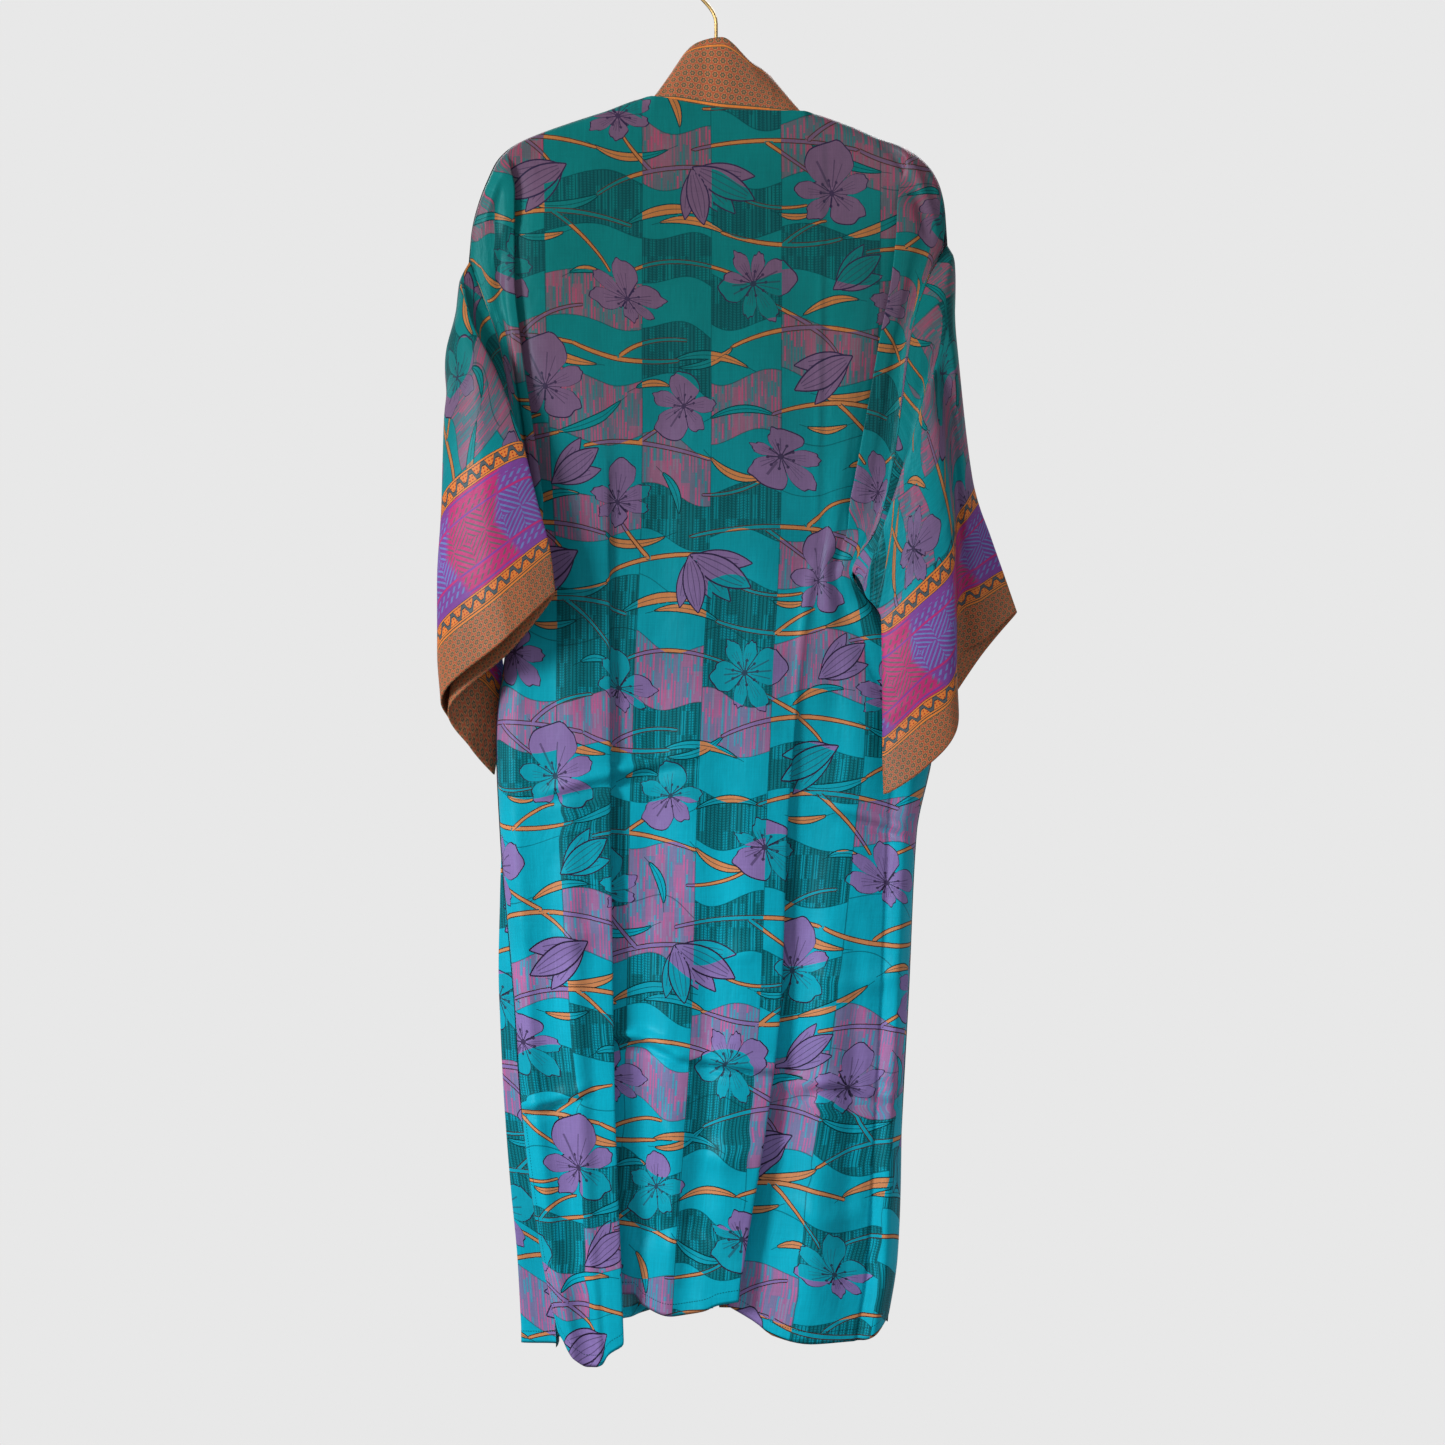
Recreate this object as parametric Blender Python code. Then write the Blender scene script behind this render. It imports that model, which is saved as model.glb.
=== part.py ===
"""A long silk kimono robe that hangs on a thin clothes hanger, seen in the photograph from its back.

+Z is up, the robe's front faces -Y and its back +Y, and +X is the wearer's left. The origin is the inside top
of the hanger's hook. Tables are in millimetres: x is across, y is depth, down is the drop below the origin.
Each cloth piece is a surface worked out from such tables, with one row for each level, fold or station, and
given the cloth's thickness. Across a panel, s runs from its left edge (0) to its right edge (1).
"""

import math

import bpy
import numpy as np

MM = 0.001

# Sizes of cloth and gaps
CLOTH = 1.2
BAND = 2.0
SEAM_GAP = 0.6
SHOULDER_GAP = 1.0
SIDE_GAP = 0.3
EDGE_GAP = 0.7

# Sizes of the hanger
HOOK_WIRE = 3.6
HOOK_BEND = 20.0
HOOK_STEM_TOP = 62.0
HOOK_FOOT = 129.6
ARM_WIRE = 6.0
ARM_BELOW = 7.0
ARM_ENDS = (-204, 203)
# How far down the arms run near the neck, between their shoulders
ARM_MIDDLE = (
    # x, down
    (-100, 160), (-84, 161), (-60, 158), (-36, 149), (-12, 133), (12, 133), (36, 143), (60, 148), (90, 150.5),
)

# The shoulder line: how far down the robe's top edge is at each x
SHOULDER = (
    # x, down
    (-230, 285), (-226, 245), (-219, 220), (-208, 200), (-189, 185), (-164, 177), (-134, 165), (-89, 152),
    (-24, 151), (21, 145), (66, 137), (116, 152), (156, 165), (191, 180), (211, 197), (223, 217), (230, 235),
    (236, 262), (242, 313),
)
NECK_LEFT = 66
NECK_RIGHT = -89
NECK_DEPTH = 9.0

# Where four lengthwise threads of the back run at each level, and where they lie across the cloth
THREADS = (0.187, 0.363, 0.69, 0.826)
BACK_SECTIONS = (
    # down, left tip, left fold, right fold, right tip, depth of the middle
    (150, 211, 107, -104, -189, 8),
    (235, 209, 107, -106, -189, 13),
    (315, 209, 107, -106, -184, 19),
    (385, 203, 107, -105, -171, 22),
    (475, 190, 106, -104, -154, 25),
    (570, 176, 106, -101, -134, 27),
    (617, 170, 106, -97, -118, 25),
    (700, 174, 106, -86, -146, 26),
    (785, 180, 106, -78, -176, 26),
    (880, 178, 106, -73, -170, 25),
    (1045, 170, 104, -66, -164, 25),
    (1156, 160, 100, -53, -158, 26),
    (1305, 142, 99, -32, -150, 30),
    (1385, 128, 98, -20, -138, 33),
)
BACK_HEM = (
    # s, down
    (0.0, 1372), (0.09, 1397), (0.187, 1410), (0.29, 1406), (0.345, 1388), (0.385, 1340), (0.42, 1340),
    (0.45, 1351), (0.54, 1359), (0.624, 1353), (0.69, 1343), (0.722, 1366), (0.742, 1379), (0.786, 1386),
    (0.87, 1384), (0.94, 1378), (1.0, 1362),
)
# Folds along the threads. A fold laps one side of the cloth over the other: side 1 lays the left part on top
BACK_FOLDS = (
    # thread, first down, last down, fade, width in s, lap at top, lap at foot, rise at top, rise at foot, side
    (0, 225, 480, 110, 0.045, 9, 6, 12, 20, 1),
    (3, 190, 585, 110, 0.045, 12, 5, 14, 12, -1),
    (1, 430, 1500, 130, 0.031, 0, 13, 4, 18, 1),
    (2, 700, 1500, 120, 0.026, 2, 15, 5, 15, 1),
)
# Soft lengthwise waves of the hanging cloth
BACK_WAVES = (
    # s, width in s, height at top, height at foot
    (0.10, 0.060, 0, 5),
    (0.27, 0.050, 2, 6),
    (0.47, 0.070, -2, -5),
    (0.60, 0.050, 3, 5),
    (0.76, 0.040, 2, 6),
    (0.92, 0.050, 0, 5),
)

# The side edges of the back and the fronts: the armhole down to the underarm, the side seam and the open slit
LEFT_EDGE = (
    # down, back x, back depth, front x, front depth
    (313, 242, 0, 242, 0),
    (345, 231, 13, 240, -12),
    (385, 217, 24, 236, -20),
    (435, 208, 27, 231, -24),
    (500, 200, 27, 222, -24),
    (560, 194, 18, 206, -16),
    (600, 191, 0, 191, 0),
    (650, 203, -3, 203, -3),
    (700, 213, -3, 213, -3),
    (785, 222, -4, 222, -4),
    (880, 218, -2, 218, -2),
    (1045, 203, 12, 203, 12),
    (1156, 195, 18, 195, 18),
    (1245, 185, 23, 187, 18),
    (1305, 176, 26, 185, 18),
    (1385, 152, 30, 184, 18),
)
RIGHT_EDGE = (
    # down, back x, back depth, front x, front depth
    (285, -230, 0, -230, 0),
    (320, -212, 14, -230, -14),
    (375, -193, 20, -226, -22),
    (445, -184, 22, -218, -24),
    (515, -176, 22, -206, -12),
    (575, -160, 23, -182, 4),
    (617, -136, 23, -136, 23),
    (660, -165, 19, -165, 19),
    (700, -190, 12, -190, 12),
    (785, -219, 0, -219, 0),
    (880, -202, 0, -202, 0),
    (1045, -194, 0, -194, 0),
    (1156, -188, 0, -188, 0),
    (1245, -186, 4, -184, -5),
    (1305, -183, 6, -180, -6),
    (1385, -170, 8, -172, -6),
)
LEFT_UNDERARM = 600
RIGHT_UNDERARM = 617

# The fronts, from the side edge (0) to the band's seam (1)
FRONT_SHAPE = (
    # down, bulge of the left side fold, bulge of the right side fold, depth of the middle
    (137, 0, 0, -8),
    (235, 0, 0, -13),
    (313, 0, 0, -18),
    (385, 0, 0, -22),
    (445, 0, 1, -24),
    (500, 0, 2, -25),
    (540, 0, 4, -26),
    (575, 0, 26, -26),
    (617, 0, 70, -27),
    (660, 2, 46, -27),
    (700, 2, 26, -28),
    (785, 2, 2, -28),
    (880, 2, 2, -28),
    (1045, 16, 2, -28),
    (1156, 20, 2, -29),
    (1245, 26, 2, -31),
    (1385, 28, 2, -34),
)
LEFT_HEM = ((0.0, 1386), (0.2, 1397), (0.45, 1392), (0.7, 1380), (1.0, 1368))
RIGHT_HEM = ((0.0, 1374), (0.25, 1382), (0.5, 1380), (0.75, 1372), (1.0, 1366))
FRONT_WAVES = (
    # s, width in s, height at top, height at foot
    (0.22, 0.08, 2, 8),
    (0.40, 0.07, -3, -7),
    (0.58, 0.08, 4, 9),
    (0.80, 0.07, -2, -6),
)

# The neck band: its seam edge and its free edge, from the left hem up, round the neck and down to the right hem
BAND_STATIONS = (
    # name, seam x, seam depth, seam down, free x, free depth, free down
    ("left hem", 67, -34, 1367, 3, -36, 1367),
    ("left shin", 67, -31, 1100, 3, -33, 1100),
    ("left waist", 68, -29, 800, 4, -31, 800),
    ("left chest", 69, -26, 500, 5, -29, 500),
    ("left collarbone", 69, -19, 280, 6, -23, 276),
    ("left neck", 68, -12, 190, 12, -17, 176),
    ("left shoulder", 65, -3, 139, 24, -9, 108),
    ("left nape", 45, 6, 141, 16, 2, 88),
    ("nape", -10, 9, 149, -6, 6, 84),
    ("right nape", -62, 6, 152, -34, 3, 110),
    ("right shoulder", -88, -3, 154, -46, -9, 124),
    ("right neck", -86, -12, 200, -26, -17, 184),
    ("right collarbone", -78, -19, 290, -14, -23, 284),
    ("right chest", -69, -26, 500, -5, -29, 500),
    ("right waist", -68, -29, 800, -4, -31, 800),
    ("right shin", -67, -31, 1100, -3, -33, 1100),
    ("right hem", -67, -34, 1366, -3, -36, 1366),
)
LEFT_JOIN = 5.4
RIGHT_JOIN = 10.6

# Sleeve rings, from the shoulder fold round the visible layer to the underarm fold and back by the hidden one
LEFT_RINGS = (
    # u, then x, depth, down of: shoulder fold, near, edge, far, underarm fold, hidden far, hidden edge, hidden near
    (0.035, ((249, 8, 330), (248, -20, 385), (242, -28, 456), (230, -28, 532), (202, -2, 612),
             (206, 25, 540), (214, 31, 466), (225, 23, 396))),
    (0.12, ((240, 26, 366), (258, 14, 392), (260, -14, 440), (246, -22, 520), (211, -8, 640),
            (213, 18, 580), (222, 25, 500), (229, 26, 432))),
    (0.25, ((213, 50, 425), (236, 55, 430), (265, 28, 455), (257, -14, 530), (219, -10, 664),
            (224, 10, 605), (232, 22, 550), (223, 33, 490))),
    (0.44, ((191, 56, 491), (229, 62, 512), (270, 34, 541), (262, -14, 600), (224, -16, 706),
            (238, 2, 650), (247, 26, 588), (212, 46, 545))),
    (0.66, ((176, 60, 550), (222, 66, 584), (276, 34, 622), (264, -14, 670), (229, -20, 742),
            (241, 2, 700), (253, 26, 655), (208, 50, 605))),
    (0.86, ((163, 63, 601), (214, 70, 645), (274, 34, 693), (265, -10, 730), (231, -24, 775),
            (242, 2, 745), (254, 26, 712), (204, 54, 655))),
    (1.0, ((158, 64, 642), (208, 71, 688), (270, 34, 738), (262, -8, 772), (231, -26, 820),
           (241, 4, 795), (252, 26, 755), (200, 55, 698))),
)
RIGHT_RINGS = (
    # u, then x, depth, down of: shoulder fold, flap, valley, ridge, inner, underarm fold, and two hidden points
    (0.035, ((-240, 3, 300), (-214, 27, 358), (-200, 34, 425), (-193, 36, 492), (-178, 36, 562),
             (-145, 40, 628), (-222, -6, 522), (-240, -18, 400))),
    (0.25, ((-239, 8, 372), (-236, 30, 385), (-222, 34, 412), (-206, 48, 450), (-186, 46, 520),
            (-150, 43, 655), (-196, 34, 560), (-226, 8, 430))),
    (0.44, ((-265, 12, 532), (-252, 34, 560), (-234, 34, 590), (-218, 58, 620), (-190, 58, 658),
            (-164, 44, 700), (-196, 37, 650), (-240, 18, 580))),
    (0.66, ((-283, 14, 598), (-262, 32, 622), (-240, 30, 660), (-230, 60, 690), (-198, 62, 735),
            (-167, 46, 755), (-198, 38, 710), (-250, 16, 640))),
    (0.86, ((-293, 15, 645), (-268, 26, 665), (-243, 26, 700), (-236, 60, 738), (-202, 64, 785),
            (-165, 47, 803), (-198, 39, 760), (-256, 14, 690))),
    (1.0, ((-302, 16, 657), (-272, 24, 684), (-243, 24, 728), (-238, 60, 776), (-204, 66, 818),
           (-166, 48, 835), (-198, 40, 800), (-262, 12, 706))),
)
CUFF_SEAM = 0.86
SEAM_AT_SHOULDER = 0.003
SEAM_AT_UNDERARM = 0.0095
LEFT_TURN = 0.5
RIGHT_TURN = 0.625
SEAM_AT_CUFF = 0.003
BAND_JOIN = 0.008


# How the cloth turns: over the hanger's arm in drop, at the side edges, and where the neck opening begins
ARM_ROUND = 14
SIDE_SQUARE = 7
NECK_EASE = 12
NECK_TUCK = 4
WAVES_GROW = (250, 1400)
WAVES_BEGIN = (180, 420)
# A fold: the last level at which one still ends above the hem, its gain, and how steep and wide its step is
LOWEST_FOLD_END = 1400
LAP_GAIN = 2.33
FOLD_STEEP = 1.5
FOLD_SPREAD = 3
# The fronts, in shares of their width: the side fold, the round side edge and the flat strip beside the band
SIDE_FOLD = 0.12
SIDE_FOLD_WIDTH = 0.11
SIDE_FOLD_EASE = 0.1
FRONT_ROUND = 0.2
BAND_EASE = 0.75
WAVES_END = 0.8
# How finely each wall is divided
TOP_ROWS = (0, 0.0022, 0.006, 0.012)
FIRST_EVEN_ROW = 0.03
BACK_ROWS = 27
BACK_COLUMNS = 25
FOLD_COLUMNS = (-1.4, -0.8, -0.35, 0, 0.35, 0.8, 1.4)
CLOSEST_COLUMNS = 0.009
FRONT_ROWS = 23
FRONT_COLUMNS = 18
FRONT_CLOSER = 1.3
RING_POINTS = 40
SLEEVE_TOP_ROWS = [0.0, 0.018, 0.035, 0.055, 0.085]
SLEEVE_FIRST_EVEN = 0.12
SLEEVE_ROWS = 10
CUFF_ROWS = 4
UNDERARM_SPREAD = 0.12
BAND_COLUMNS = 4
BAND_FIRST_COLUMN = 0.02
BAND_SIDE_ROWS = 21
BAND_BACK_ROWS = 25
# The hook's wire: its bend in degrees, then the curve that brings it back over the middle
HOOK_TURN = (205, -40)
HOOK_POINTS = 22
HOOK_REACH = 12
HOOK_LEAVES = (-0.64, -0.77)
HOOK_CURVE_POINTS = 7
ARM_POINTS = 31
WIRE_SIDES = 2

TEAL = (0.012, 0.21, 0.24, 1)
TAN = (0.36, 0.13, 0.045, 1)
GOLD = (0.65, 0.42, 0.16, 1)


def smooth(table, column, at):
    """Reads a column of a table at the given places, along a smooth curve through its rows."""
    rows = np.array([(row[0], row[column]) for row in table], float)
    return smooth_through(rows[:, 0], rows[:, 1], at)


def smooth_through(places, values, at):
    """A cubic curve through the values that never overshoots between two of them."""
    steps = np.diff(places)
    slopes = np.diff(values, axis=0) / steps.reshape((-1,) + (1,) * (values.ndim - 1))
    before, after = slopes[:-1], slopes[1:]
    both = np.where(before * after > 0, 2 * before * after / np.where(before + after == 0, 1, before + after), 0)
    tangents = np.concatenate([slopes[:1], both, slopes[-1:]])
    at = np.clip(at, places[0], places[-1])
    k = np.clip(np.searchsorted(places, at, side="right") - 1, 0, len(steps) - 1)
    h, f = steps[k], (at - places[k]) / steps[k]
    if values.ndim > 1:
        h, f = h[..., None], f[..., None]
    rise = values[k + 1] - values[k]
    bend = (tangents[k] * h - rise) * (1 - f) ** 2 * f + (rise - tangents[k + 1] * h) * f**2 * (1 - f)
    return values[k] + rise * f * f * (3 - 2 * f) + bend + rise * f * (1 - f) * (1 - 2 * f)


def ease(value, low, high):
    """Goes smoothly from 0 at low to 1 at high."""
    f = np.clip((value - low) / (high - low), 0, 1)
    return f * f * (3 - 2 * f)


def edge_of(side, down, front):
    """The x and depth of a side edge, of the back or of the front."""
    table = LEFT_EDGE if side > 0 else RIGHT_EDGE
    return smooth(table, 3 if front else 1, down), smooth(table, 4 if front else 2, down)


def across(down, s):
    """The x of the back's cloth at s, read through its edges and its lengthwise threads."""
    lines = [edge_of(1, down, False)[0]]
    lines += [smooth(BACK_SECTIONS, k + 1, down) for k in range(len(THREADS))]
    lines = np.stack(lines + [edge_of(-1, down, False)[0]])
    places = np.array((0.0,) + THREADS + (1.0,))
    k = np.clip(np.searchsorted(places, s, side="right") - 1, 0, len(places) - 2)
    f = (s - places[k]) / (places[k + 1] - places[k])
    low = np.take_along_axis(lines, k[None], 0)[0]
    high = np.take_along_axis(lines, k[None] + 1, 0)[0]
    return low + (high - low) * f


def shoulder_round(below):
    """How far the cloth has come round the hanger's arm, from 0 on its top to 1."""
    return np.sqrt(np.clip(1 - (1 - np.clip(below / ARM_ROUND, 0, 1)) ** 2, 0, 1))


def waves(table, s, down):
    """The depth that soft lengthwise waves add."""
    grown = ease(down, *WAVES_GROW)
    total = 0
    for middle, width, at_top, at_foot in table:
        total = total + (at_top + (at_foot - at_top) * grown) * np.exp(-(((s - middle) / width) ** 2))
    return total * ease(down, *WAVES_BEGIN)


def back_point(s, t):
    """A point of the back panel; t runs from its top edge (0) to its hem (1)."""
    top = smooth(SHOULDER, 1, across(np.full_like(s, 150), s))
    down = top + (smooth(BACK_HEM, 1, s) - top) * t
    x = across(down, s)
    at_neck = ease(x, NECK_RIGHT - NECK_EASE, NECK_RIGHT) * (1 - ease(x, NECK_LEFT, NECK_LEFT + NECK_EASE))
    middle = smooth(BACK_SECTIONS, 5, down)
    edge = np.where(s < 0.5, edge_of(1, down, False)[1], edge_of(-1, down, False)[1])
    side = np.sqrt(np.clip(1 - np.abs(2 * s - 1) ** SIDE_SQUARE, 0, 1))
    come_round = np.maximum(shoulder_round(down - top), at_neck)
    y = edge + (np.maximum(middle, NECK_DEPTH * at_neck) - edge) * side
    y = y * come_round + SHOULDER_GAP * (1 - come_round) + SIDE_GAP * (1 - side) + waves(BACK_WAVES, s, down) * side
    for thread, first, last, fade, width, lap0, lap1, rise0, rise1, on_top in BACK_FOLDS:
        f = np.clip((down - first) / (last - first), 0, 1)
        shown = ease(down, first, first + fade)
        if last < LOWEST_FOLD_END:
            shown = shown * (1 - ease(down, last - fade, last))
        off = (THREADS[thread] - s) / width
        x = x - shown * (lap0 + (lap1 - lap0) * f) * LAP_GAIN * off * np.exp(-off * off)
        lift = np.tanh(FOLD_STEEP * off) * np.exp(-((off / FOLD_SPREAD) ** 2)) * on_top
        y = y + shown * (rise0 + (rise1 - rise0) * f) * lift * 0.5 * side
    return x, y, down


def front_point(side, v, t):
    """A point of a front; v runs from its side edge to the band's seam, t from its top edge to its hem."""
    hem, sign, neck, bulge = (LEFT_HEM, 1, NECK_LEFT, 1) if side > 0 else (RIGHT_HEM, -1, NECK_RIGHT, 2)
    outer_top = (LEFT_EDGE if side > 0 else RIGHT_EDGE)[0][3]
    top = smooth(SHOULDER, 1, outer_top + (neck + sign * NECK_TUCK - outer_top) * v)
    down = top + (smooth(hem, 1, v) - top) * t
    seam_x, seam_y = seam_of_band(side, down)
    outer, edge_y = edge_of(side, down, True)
    outer, edge_y = outer + sign * EDGE_GAP, edge_y - EDGE_GAP
    x = outer + (seam_x + sign * SEAM_GAP - outer) * v
    swell = np.exp(-(((v - SIDE_FOLD) / SIDE_FOLD_WIDTH) ** 2)) * ease(v, 0, SIDE_FOLD_EASE)
    x = x + sign * smooth(FRONT_SHAPE, bulge, down) * swell
    middle = smooth(FRONT_SHAPE, 3, down)
    turn = np.sqrt(1 - (1 - np.clip(v / FRONT_ROUND, 0, 1)) ** 2)
    y = edge_y + (middle - edge_y) * turn
    y = y + (seam_y - y) * ease(v, BAND_EASE, 1)
    come_round = shoulder_round(down - top)
    y = y * come_round - SHOULDER_GAP * (1 - come_round)
    y = y - waves(FRONT_WAVES, v, down) * (1 - ease(v, WAVES_END, 1)) * turn
    return x, y, down


def seam_of_band(side, down):
    """Where the neck band's seam edge runs down a front."""
    rows = BAND_STATIONS[:7] if side > 0 else BAND_STATIONS[10:]
    rows = sorted((row[3], row[1], row[2]) for row in rows)
    return smooth(rows, 1, down), smooth(rows, 2, down)


def band_point(u, v):
    """A point of the neck band; u counts its stations, v runs from the seam edge to the free edge."""
    rows = np.array([row[1:] for row in BAND_STATIONS], float)
    read = smooth_through(np.arange(len(rows), dtype=float), rows, u)
    seam, free = read[..., :3], read[..., 3:]
    return seam + (free - seam) * v[..., None]


def armhole(side, v):
    """The armhole's loop, read like a sleeve's ring: v goes round it from the shoulder and back."""
    table, underarm = (LEFT_EDGE, LEFT_UNDERARM) if side > 0 else (RIGHT_EDGE, RIGHT_UNDERARM)
    low = LEFT_TURN if side > 0 else RIGHT_TURN
    top = table[0][0]
    down = top + (underarm - top) * np.where(v < low, v / low, (1 - v) / (1 - low))
    front = v < low if side > 0 else v > low
    x = np.where(front, smooth(table, 3, down), smooth(table, 1, down))
    y = np.where(front, smooth(table, 4, down), smooth(table, 2, down))
    return np.stack([x, y, down], axis=-1)


def sleeve_point(side, u, v):
    """A point of a sleeve; u runs from the armhole (0) to the cuff's edge (1), v goes round from the shoulder."""
    rings = LEFT_RINGS if side > 0 else RIGHT_RINGS
    places = np.array([0.0] + [ring[0] for ring in rings])
    loops = np.array([ring[1] for ring in rings], float)
    count = loops.shape[1]
    round_places = v[0]
    around = loops[:, (np.floor(round_places * count).astype(int)[:, None] + np.arange(-1, 3)) % count]
    a, b, c, d = (around[:, :, k] for k in range(4))
    f = (round_places * count % 1)[:, None]
    ringed = b + 0.5 * f * (c - a + f * (2 * a - 5 * b + 4 * c - d + f * (3 * (b - c) + d - a)))
    ringed = np.concatenate([armhole(side, round_places)[None], ringed])
    return np.stack([smooth_through(places, ringed[:, k], u[:, k]) for k in range(len(round_places))], axis=1)


def grid(rows, columns):
    """Two tables of the places of a grid's points, down its rows and along its columns."""
    return np.meshgrid(rows, columns, indexing="ij")


def material(name, colour, roughness, metallic=0.0):
    made = bpy.data.materials.new(name)
    made.use_nodes = True
    shader = made.node_tree.nodes["Principled BSDF"]
    shader.inputs["Base Color"].default_value = colour
    shader.inputs["Roughness"].default_value = roughness
    shader.inputs["Metallic"].default_value = metallic
    return made


def wall(name, points, thickness, look, closed=False):
    """A wall of cloth on a grid of points; closed joins the last column to the first."""
    rows, columns = points.shape[:2]
    last = columns if closed else columns - 1
    faces = []
    for r in range(rows - 1):
        for c in range(last):
            d = (c + 1) % columns
            faces.append((r * columns + c, (r + 1) * columns + c, (r + 1) * columns + d, r * columns + d))
    mesh = bpy.data.meshes.new(name)
    mesh.from_pydata((points.reshape(-1, 3) * MM).tolist(), [], faces)
    mesh.materials.append(look)
    mesh.shade_smooth()
    made = bpy.data.objects.new(name, mesh)
    bpy.context.scene.collection.objects.link(made)
    solid = made.modifiers.new("cloth", "SOLIDIFY")
    solid.thickness = thickness * MM
    solid.offset = 0
    return made


def in_row_frame(x, y, down):
    return np.stack([x, y, -down], axis=-1)


def turned_over(points):
    return np.stack([points[..., 0], points[..., 1], -points[..., 2]], axis=-1)


def panel_rows(count):
    """Places down a panel: close together where it rounds the hanger's arm, then even."""
    return np.concatenate([TOP_ROWS, np.linspace(FIRST_EVEN_ROW, 1, count)])


def back_columns():
    """Places across the back: even, and closer together at each fold."""
    places = list(np.linspace(0, 1, BACK_COLUMNS))
    for fold in BACK_FOLDS:
        places += [THREADS[fold[0]] + step * fold[4] for step in FOLD_COLUMNS]
    places = sorted(places)
    return [a for a, b in zip(places, places[1:]) if b - a > CLOSEST_COLUMNS] + [1.0]


def build_back(look):
    t, s = grid(panel_rows(BACK_ROWS), np.array(back_columns()))
    wall("back_panel", in_row_frame(*back_point(s, t)), CLOTH, look)


def build_fronts(look):
    for side, name in ((1, "front_panel_left"), (-1, "front_panel_right")):
        t, v = grid(panel_rows(FRONT_ROWS), np.linspace(0, 1, FRONT_COLUMNS) ** FRONT_CLOSER)
        wall(name, in_row_frame(*front_point(side, v, t)), CLOTH, look)


def build_sleeves(cloth, border):
    for side, name in ((1, "left"), (-1, "right")):
        rows = SLEEVE_TOP_ROWS + list(np.linspace(SLEEVE_FIRST_EVEN, CUFF_SEAM - SEAM_AT_CUFF, SLEEVE_ROWS))
        u, v = grid(np.array(rows), np.arange(RING_POINTS) / RING_POINTS)
        underarm = np.exp(-(((v[0] - (LEFT_TURN if side > 0 else RIGHT_TURN)) / UNDERARM_SPREAD) ** 2))
        u[0] = SEAM_AT_SHOULDER + (SEAM_AT_UNDERARM - SEAM_AT_SHOULDER) * underarm
        wall("sleeve_" + name, turned_over(sleeve_point(side, u, v)), CLOTH, cloth, closed=True)
        u, v = grid(np.linspace(CUFF_SEAM + SEAM_AT_CUFF, 1, CUFF_ROWS), np.arange(RING_POINTS) / RING_POINTS)
        wall("cuff_" + name, turned_over(sleeve_point(side, u, v)), BAND, border, closed=True)


def build_band(look):
    last = len(BAND_STATIONS) - 1
    parts = (
        ("neck_band_left", 0.0, LEFT_JOIN - BAND_JOIN, BAND_SIDE_ROWS),
        ("neck_band_back", LEFT_JOIN + BAND_JOIN, RIGHT_JOIN - BAND_JOIN, BAND_BACK_ROWS),
        ("neck_band_right", RIGHT_JOIN + BAND_JOIN, float(last), BAND_SIDE_ROWS),
    )
    for name, first, end, count in parts:
        u, v = grid(np.linspace(first, end, count), np.linspace(BAND_FIRST_COLUMN, 1, BAND_COLUMNS))
        wall(name, turned_over(band_point(u, v)), BAND, look)


def tube(name, route, width, look):
    """A round rod along a route of points in millimetres, with filled ends."""
    data = bpy.data.curves.new(name, "CURVE")
    data.dimensions = "3D"
    data.bevel_depth = width / 2 * MM
    data.bevel_resolution = WIRE_SIDES
    data.use_fill_caps = True
    line = data.splines.new("POLY")
    line.points.add(len(route) - 1)
    for point, (x, y, z) in zip(line.points, route):
        point.co = (x * MM, y * MM, z * MM, 1)
    data.materials.append(look)
    made = bpy.data.objects.new(name, data)
    bpy.context.scene.collection.objects.link(made)
    return made


def build_hanger(look):
    radius = HOOK_BEND + HOOK_WIRE / 2
    turn = [math.radians(a) for a in np.linspace(*HOOK_TURN, HOOK_POINTS)]
    hook = [(radius * math.cos(a), 0, -HOOK_BEND + radius * math.sin(a)) for a in turn]
    start = hook[-1]
    for f in np.linspace(0, 1, HOOK_CURVE_POINTS)[1:]:
        g = 1 - f
        x = g**3 * start[0] + 3 * g * g * f * (start[0] + HOOK_LEAVES[0] * HOOK_REACH)
        z = g**3 * start[2] + 3 * g * g * f * (start[2] + HOOK_LEAVES[1] * HOOK_REACH)
        z += 3 * g * f * f * (HOOK_REACH - HOOK_STEM_TOP) - f**3 * HOOK_STEM_TOP
        hook.append((x, 0, z))
    hook.append((0, 0, -HOOK_FOOT))
    tube("hanger_hook", hook, HOOK_WIRE, look)
    arms = []
    for x in np.linspace(*ARM_ENDS, ARM_POINTS):
        inside = ARM_MIDDLE[0][0] < x < ARM_MIDDLE[-1][0]
        down = smooth(ARM_MIDDLE, 1, x) if inside else smooth(SHOULDER, 1, x) + ARM_BELOW
        arms.append((x, 0, -float(down)))
    tube("hanger_arms", arms, ARM_WIRE, look)


def main():
    for old in list(bpy.data.objects):
        bpy.data.objects.remove(old)
    silk = material("printed silk", TEAL, 0.42)
    border = material("tan border silk", TAN, 0.5)
    gold = material("gold metal", GOLD, 0.3, 1.0)
    build_back(silk)
    build_fronts(silk)
    build_sleeves(silk, border)
    build_band(border)
    build_hanger(gold)


main()
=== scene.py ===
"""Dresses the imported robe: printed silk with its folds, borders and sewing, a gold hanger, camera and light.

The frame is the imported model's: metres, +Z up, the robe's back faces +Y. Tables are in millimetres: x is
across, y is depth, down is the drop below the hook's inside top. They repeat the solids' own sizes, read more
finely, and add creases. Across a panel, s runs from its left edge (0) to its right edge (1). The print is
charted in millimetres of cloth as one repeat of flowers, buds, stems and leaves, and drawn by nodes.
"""

import math
from functools import partialmethod
from types import SimpleNamespace

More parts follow.
